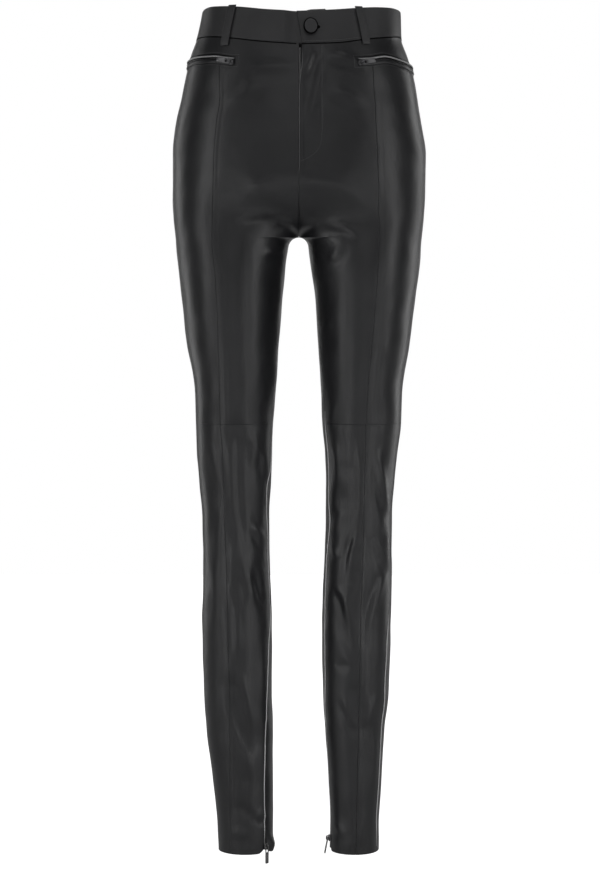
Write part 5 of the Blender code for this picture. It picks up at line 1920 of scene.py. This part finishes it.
@dataclass(frozen=True)
class BandShadow:
    """A black line of painted shadow where the panels go up behind the waistband's lower edge."""

    below: float = 0.8
    lift: float = 0.1
    radius: float = 0.6

    def build(self) -> Thing:
        """Build the painted shadow as a dark line round the waist."""
        lines = []
        for form in FORM.values():
            ts = np.linspace(0.004, 0.998, 260)
            line, normals = form.place(form.level("low", ts) + self.below, ts, self.lift)
            lines.append(tube(line, self.radius, 8, 0, 0.7, normals))
        return trim("band_crease", joined(lines), Look.RIM)


@dataclass(frozen=True)
class Button:
    """A flat covered button on its shank, with the end of its buttonhole beside it."""

    x: float = 14.0
    drop: float = 24.7
    radius: float = 10.5
    narrower: float = 0.87
    shank: float = 2.2
    thickness: float = 3.2
    stand_off: float = 1.1
    dome: float = 0.55
    turned_deg: float = 5.0
    rim: float = 1.05
    hole_x: float = 20.6
    hole_half: tuple[float, float] = (5.6, 2.6)
    hole_points: int = 40
    hole_lifts: tuple[float, float] = (0.1, -0.6)
    hole_lips: tuple[tuple[float, float], ...] = ((0.45, -0.1), (0.3, 0.22), (0.12, 0.2))  # share in, height
    hole_faces_x: float = 21.5   # the hole faces out as the band does here

    def build(self) -> list[Thing]:
        """Build the button and the buttonhole's end."""
        form = FORM[Side.LEFT]
        t = float(form.t_at_x(self.drop, self.x))
        normal = form.normal(self.drop, t)
        base = form.point(self.drop, t) + normal * (BAND_LIFT + self.stand_off)
        turn = Matrix.Rotation(math.radians(self.turned_deg), 4, "Y")
        profile, kinds = self._profile()
        shape = turned(profile, 56, kinds)
        shape.points[:, 0] *= self.narrower
        placed = shape.moved(frame_matrix(base, normal, (0.0, 0.0, 1.0)) @ turn)
        # the button's rim and underside take the black painted shade
        return [solid_part("button", placed, (Look.BUTTON, Look.RIM), "button_cover", 50.0),
                self._buttonhole(form)]

    def _profile(self) -> tuple[list[tuple[float, float]], list[int]]:
        """Shank, underside, rounded rim, the fine groove inside it, and the face, with their kinds; all but the face
        and the groove's inner side are kind 1, black painted shade round the button.
        """
        r, base, top = self.radius, self.shank, self.shank + self.thickness
        bead = [(r - self.rim + self.rim * math.sin(a), base + self.thickness / 2 * (1 - math.cos(a)))
                for a in np.linspace(0.15, math.pi - 0.1, 12)]
        inside = [(r - self.rim - into, top - sunk) for into, sunk in ((0.25, 0.45), (0.6, 0.2), (1.1, 0.0))]
        face = [(r * share, top + self.dome * (1 - share ** 2))
                for share in (0.72, 0.6, 0.45, 0.3, 0.15, 0.0)]
        below = [(0.0, 0.0), (3.0, 0.0), (3.0, base), (r - self.rim, base), *bead, *inside]
        return [*below, *face], [1] * (len(below) - 2) + [0] * (len(face) + 1)

    def _buttonhole(self, form: Form) -> Thing:
        """The end of the buttonhole past the button's edge, all in black as painted shade in the dent beside the
        button.
        """
        angle = np.linspace(0, 2 * math.pi, self.hole_points, endpoint=False)
        x = self.hole_x + self.hole_half[0] * np.cos(angle)
        drop = self.drop + self.hole_half[1] * np.sin(angle)
        t = form.t_at_x(drop, x)
        points, normals = form.bare(drop, t)
        ring, low = (points + normals * (BAND_LIFT + lift) for lift in self.hole_lifts)
        middle = ring.mean(axis=0, keepdims=True).repeat(self.hole_points, 0)
        normal = form.normal(self.drop, float(form.t_at_x(self.drop, self.hole_faces_x)))
        raised = [ring + (middle - ring) * share + normal * lift
                  for share, lift in self.hole_lips]
        made = facing(wrapped(np.stack([middle - normal * 0.1, *raised, ring, low,
                                        low + (middle - low) * 0.5 - normal * 0.1, middle - normal * 0.7])))
        return trim("buttonhole", made, Look.RIM)


# ---- studio --------------------------------------------------------------------------------------


WHITE = (1.0, 1.0, 1.0, 1.0)


def aimed(made: Thing, place: Sequence[float], target: Sequence[float]) -> Thing:
    """A light or a camera set at a place and turned to face a target."""
    made.location = place
    made.rotation_euler = (Vector(target) - Vector(place)).to_track_quat("-Z", "Y").to_euler()
    return made


@dataclass(frozen=True)
class Softbox:
    """A rectangular area light that faces a point on the garment."""

    name: str
    azimuth: float
    distance: float
    height: float
    width: float
    length: float
    power: float
    aim_z: float = -0.5

    def build(self) -> Thing:
        """Place the light; azimuth 0 is the camera's side, positive towards +X."""
        light = bpy.data.lights.new(self.name, "AREA")
        light.shape = "RECTANGLE"
        light.size, light.size_y, light.energy = self.width, self.length, self.power
        turn = math.radians(self.azimuth)
        place = (math.sin(turn) * self.distance, -math.cos(turn) * self.distance, self.height)
        return aimed(linked(self.name, light), place, (0.0, 0.0, self.aim_z))

    @classmethod
    def pair(cls, name: str, azimuth: float, *sizes: float) -> list["Softbox"]:
        """The same light on both sides of the camera."""
        return [cls(name + "_left", -azimuth, *sizes), cls(name + "_right", azimuth, *sizes)]


@dataclass(frozen=True)
class Studio:
    """Camera, lights, the white surround and the pale floor."""

    camera_at: tuple[float, float, float] = (0.0013, -3.43, -0.266)
    aim: tuple[float, float, float] = (0.0013, 0.0, -0.514)
    lens: float = 112.05
    sensor: float = 36.0
    floor_drop: float = 1085.0
    floor_size: float = 6.0
    surround: float = 0.05
    floor_glow: float = 0.085

    def build(self) -> None:
        """Set up the whole studio."""
        self._camera()
        self._world()
        self._floor()
        # name, azimuth, distance, height, width, length, power, and the height it is aimed at
        for box in (
                *Softbox.pair("side", 62, 2.6, -0.35, 0.36, 2.2, 11),
                *Softbox.pair("hip", 36, 3.2, 0.0, 0.3, 0.6, 0.8),
                *Softbox.pair("thigh", 36, 2.2, -0.64, 0.2, 0.8, 1.15, -0.64),
                *Softbox.pair("shin", 36, 0.95, -0.86, 0.13, 0.42, 0.42, -0.86),
                Softbox("front_fill", 0, 3.8, 0.2, 2.6, 2.2, 6.8),
                Softbox("high_front", 0, 3.2, 1.5, 2.6, 0.9, 6.5),
                Softbox("low_front", 0, 1.5, -0.93, 0.6, 0.25, 0.5, -0.25),
                *Softbox.pair("high", 48, 3.0, 1.3, 0.9, 0.7, 2.4),
                Softbox("rim_left", -128, 2.2, -0.3, 0.6, 2.0, 6.5, -0.35),
                Softbox("rim_right", 128, 2.2, -0.3, 0.6, 2.0, 8, -0.35),
                Softbox("top", 0, 0.7, 2.4, 2.0, 1.6, 16),
                Softbox("back_fill", 180, 3.0, 0.3, 2.6, 2.4, 15)):
            box.build()
        scene = bpy.context.scene
        scene.view_settings.view_transform = "Standard"
        scene.view_settings.look = "None"

    def _camera(self) -> None:
        """The photograph's camera."""
        data = bpy.data.cameras.new("camera")
        data.lens, data.sensor_width, data.sensor_fit = self.lens, self.sensor, "AUTO"
        data.clip_start, data.clip_end = 0.05, 50.0
        bpy.context.scene.camera = aimed(linked("camera", data), self.camera_at, self.aim)

    def _world(self) -> None:
        """White to the camera, dim to everything else."""
        world = bpy.data.worlds.new("studio")
        world.use_nodes = True
        tree = world.node_tree
        feed(tree, tree.nodes["Background"], {"Color": WHITE, "Strength": self._seen(tree, self.surround)})
        bpy.context.scene.world = world

    @staticmethod
    def _seen(tree: Tree, otherwise: float) -> Socket:
        """1 where the camera sees something straight on, another value for all other light."""
        path = add_node(tree, "LightPath", {})
        return ranged(tree, path.outputs["Is Camera Ray"], 0.0, 1.0, otherwise, 1.0)

    def _floor(self) -> None:
        """A pale floor that looks as white as the surround."""
        material, tree, shader = shaded("pale floor")
        feed(tree, shader, {"Base Color": (0.55, 0.55, 0.55, 1.0), "Roughness": 0.9, "Emission Color": WHITE,
                            "Emission Strength": self._seen(tree, self.floor_glow)})
        half, z = self.floor_size / 2, (WAIST_EDGE_Z - self.floor_drop) * MM
        mesh = bpy.data.meshes.new("floor")
        corners = [(-half, -half, z), (half, -half, z), (half, half, z), (-half, half, z)]
        mesh.from_pydata(corners, [], [(0, 1, 2, 3)])
        mesh.materials.append(material)
        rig.stage(linked("floor", mesh))


# ---- cloth sizes -----------------------------------------------------------------------------------

# The flat cut of what shows of each piece, in metres: width and length of the piece of leather, and its area
SHEETS = {
    "columns": ("piece", "width_right", "length_right", "area_right",
                "width_left", "length_left", "area_left"),
    "rows": (
        ("front_centre_upper_", 0.162, 0.482, 0.0594, 0.156, 0.482, 0.0523),
        ("front_side_upper_", 0.105, 0.450, 0.0391, 0.115, 0.446, 0.0440),
        ("front_centre_lower_", 0.074, 0.552, 0.0339, 0.070, 0.552, 0.0305),
        ("front_side_lower_", 0.066, 0.552, 0.0316, 0.062, 0.552, 0.0287),
        ("back_upper_", 0.272, 0.500, 0.1131, 0.276, 0.500, 0.1150),
        ("back_lower_", 0.190, 0.552, 0.0915, 0.196, 0.552, 0.0948),
        ("waistband_", 0.390, 0.042, 0.0150, 0.352, 0.042, 0.0136),
    ),
}


@dataclass(frozen=True)
class SeamAllowances:
    """The strips of leather behind the seams, where the panels' edges are turned and glued back."""

    half_width: float = 4.0
    behind: float = 0.08
    wall: float = 0.7
    spacing: float = 3.2

    def build(self) -> list[Thing]:
        """Build the strips of both halves and those along the centre."""
        made = []
        for side, form in FORM.items():
            strips = [self._strip(form, seam, top, low) for seam, top, low in (
                (form.front_seam, 70.0, HEM - 0.6), (form.side_seam, 40.0, HEM - 0.6),
                (form.inseam, CROTCH + 4.0, ZIP_TOP - 4.0))]
            made.append(trim("seam_allowances_" + side.value, joined([*strips, self._knee(form)]),
                             Look.FLESH))
        centre = [self._centre(160.0, False), self._centre(40.0, True)]
        return [*made, trim("seam_allowances_centre", joined(centre), Look.FLESH)]

    def _lifted(self, form: Form, drops: Array, ts: Array) -> tuple[Array, Array]:
        """Points just behind the panels, and the strip's inner face."""
        points, normals = form.place(drops, ts, -WALL - self.behind)
        return points, points - normals * self.wall

    def _strip(self, form: Form, seam: Callable, top: float, low: float) -> Faceted:
        """A strip down one seam."""
        drops = np.linspace(top, low, int((low - top) / self.spacing) + 1)
        middle, across = seam(drops)[:, None], np.linspace(-self.half_width, self.half_width, 7)
        ts = middle + form.step(drops[:, None], middle, 1.0) * across
        return walled(*self._lifted(form, drops[:, None], ts))

    def _knee(self, form: Form) -> Faceted:
        """A ring round the leg behind the knee seam."""
        ts = np.linspace(0.0, 1.0, 97)[:-1]
        drops = KNEE_SEAM + np.array([-self.half_width, -2.0, 0.0, 2.0, self.half_width])
        outer, inner = self._lifted(form, drops[:, None], ts)
        return facing(wrapped(np.concatenate([outer, inner[::-1], outer[:1]])))

    def _centre(self, top: float, back: bool) -> Faceted:
        """A strip down the centre front or the centre back, as far as the crotch."""
        drops = np.linspace(top, CROTCH - 0.6, int((CROTCH - top) / self.spacing) + 1)
        return walled(*across_centre(np.linspace(-3.2, 3.2, 9), lambda form, x: self._lifted(
            form, drops, form.t_at_x(drops, x, back=back))))


# Seams where the turned edge shows as a thin pale line of painted highlight: drops between which it shows, its half
# width, and whether it takes the brighter painted highlight
EDGES = {
    "columns": ("seam", "drop_from", "drop_to", "radius", "bright"),
    "right": (
        ("inseam", 540, 745, 0.55, 1), ("inseam", 735, 1058, 0.7, 1), ("side", 110, 1056, 0.22, 0),
    ),
    "left": (
        ("inseam", 500, 925, 0.75, 1), ("inseam", 915, 1058, 0.5, 1), ("side", 110, 770, 0.22, 0),
        ("side", 760, 1058, 0.75, 1), ("fly", 48, 206, 0.26, 0),
    ),
}
EDGE_LIFTS = (-0.08, 0.12)     # middle of a plain edge and of a bright one above the form
EDGE_IN = {"inseam": 0.35, "fly": 0.5, "side": 0.3}    # how far an edge's middle lies inside its panel
EDGE_FADE = (0.25, 0.12)       # an edge's radius at its ends as a share, and the share that it takes to grow


@dataclass(frozen=True)
class SeamEdgeHighlights:
    """Thin bars of painted highlight on the turned edges of the front panels, down the seams."""

    def build(self) -> list[Thing]:
        """Build the edges of both halves."""
        bars = {side: [self._bar(form, row) for row in rows_of(EDGES, side.value)]
                for side, form in FORM.items()}
        return [trim("seam_edges_" + side.value, joined(bars[side]), Look.EDGE, Look.PALE) for side in Side]

    @staticmethod
    def _bar(form: Form, row: dict) -> Faceted:
        """One thin bar along the front side of a seam, fading at both ends."""
        first, last = row["drop_from"], row["drop_to"]
        drops = np.linspace(first, last, int((last - first) / 3) + 2)
        if row["seam"] == "inseam":
            ts = form.inseam(drops)
            ts = ts + form.step(drops, ts + 0.01, zip_gap(drops) + EDGE_IN["inseam"])
        elif row["seam"] == "fly":
            ts = form.t_at_x(drops, HALF_SEAM + EDGE_IN["fly"] + slit_width(drops))
        else:
            ts = form.side_seam(drops)
            ts = ts - form.step(drops, ts, HALF_SEAM + EDGE_IN["side"])
        line, _ = form.place(drops, ts, EDGE_LIFTS[row["bright"]])
        share = np.linspace(0.0, 1.0, len(drops))
        thin, grown = EDGE_FADE
        radii = row["radius"] * (thin + (1 - thin) * smooth(np.minimum(share, 1 - share) / grown))
        # kind 0 takes the plain painted highlight, kind 1 the brighter one
        return tube(line, radii, 8, row["bright"])


def declare_sheets(pieces: dict[str, Thing], trims: dict[str, list[Thing]]) -> None:
    """State the flat cut of each piece of leather and what it hangs from.

    Args:
        pieces: the leather pieces by CAD node name.
        trims: the separate pieces on each.
    """
    for row, side in itertools.product(rows_of(SHEETS), Side):
        kind, side = row["piece"], side.value
        if kind == "waistband_":
            rests, held = "back_upper_", "folded"
        else:
            rests, held = "waistband_" if "upper" in kind else kind.replace("lower", "upper"), "hung"
        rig.sheet(pieces[kind + side], flat=(row["width_" + side], row["length_" + side]), held=held,
                 rests_on=[pieces[rests + side]], area=row["area_" + side],
                 with_pieces=trims.get(kind + side, []))


def main() -> None:
    """Build the garment piece by piece, then the studio."""
    logging.basicConfig(level=logging.INFO, format="%(message)s")
    make_materials()
    pieces: dict[str, Thing] = {}
    trims: dict[str, list[Thing]] = {}
    for side in Side:
        pieces.update(Panels(side).build())
    pieces.update(Waistband().build())
    trims["back_upper_right"] = [*SeamAllowances().build(), *SeamEdgeHighlights().build()]
    loops = [BeltLoop("belt_loop_right", Side.RIGHT, 81.2, 91.2, below_band=11.0).build(),
             BeltLoop("belt_loop_left", Side.LEFT, 72.8, 82.4, below_band=7.0).build(),
             BeltLoop("belt_loop_back", Side.LEFT, 0.0, 0.0).build()]
    trims["waistband_right"] = [loops[0]]
    trims["waistband_left"] = [*loops[1:], *Button().build()]
    trims["front_centre_upper_left"] = [*Fly().build(), BandShadow().build()]
    for side, inner_t, slider_x in ((Side.RIGHT, 0.172, 83.0), (Side.LEFT, 0.152, 75.4)):
        pocket = Pocket(side, inner_t).build()
        pocket += Zipper("pocket", side, 17.5, 5.0, slider_x=slider_x).build()
        trims.setdefault("front_centre_upper_" + side.value, []).extend(pocket)
    for side, drop, length, tilt in ((Side.RIGHT, 1056.5, 21.5, 0.0), (Side.LEFT, 1049.5, 20.5, 10.0)):
        ankle = [AnkleZip(side).build()]
        ankle += Zipper("ankle", side, length, 6.6, slider_drop=drop, tilt_deg=tilt).build()
        trims["front_centre_lower_" + side.value] = ankle
    declare_sheets(pieces, trims)
    Studio().build()
    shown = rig.pieces()
    for piece in shown:
        LOG.info("%s: %d faces", piece.name, len(piece.data.polygons))
    LOG.info("triangles: %d", sum(len(p.data.loops) - 2 * len(p.data.polygons) for p in shown))


if __name__ == "__main__":
    main()
    boxes = {"cad": [list(corner) for corner in CAD_BOX], "visual": [list(corner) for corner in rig.bounds()]}
    with open("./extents.json", "w") as out:
        json.dump(boxes, out)
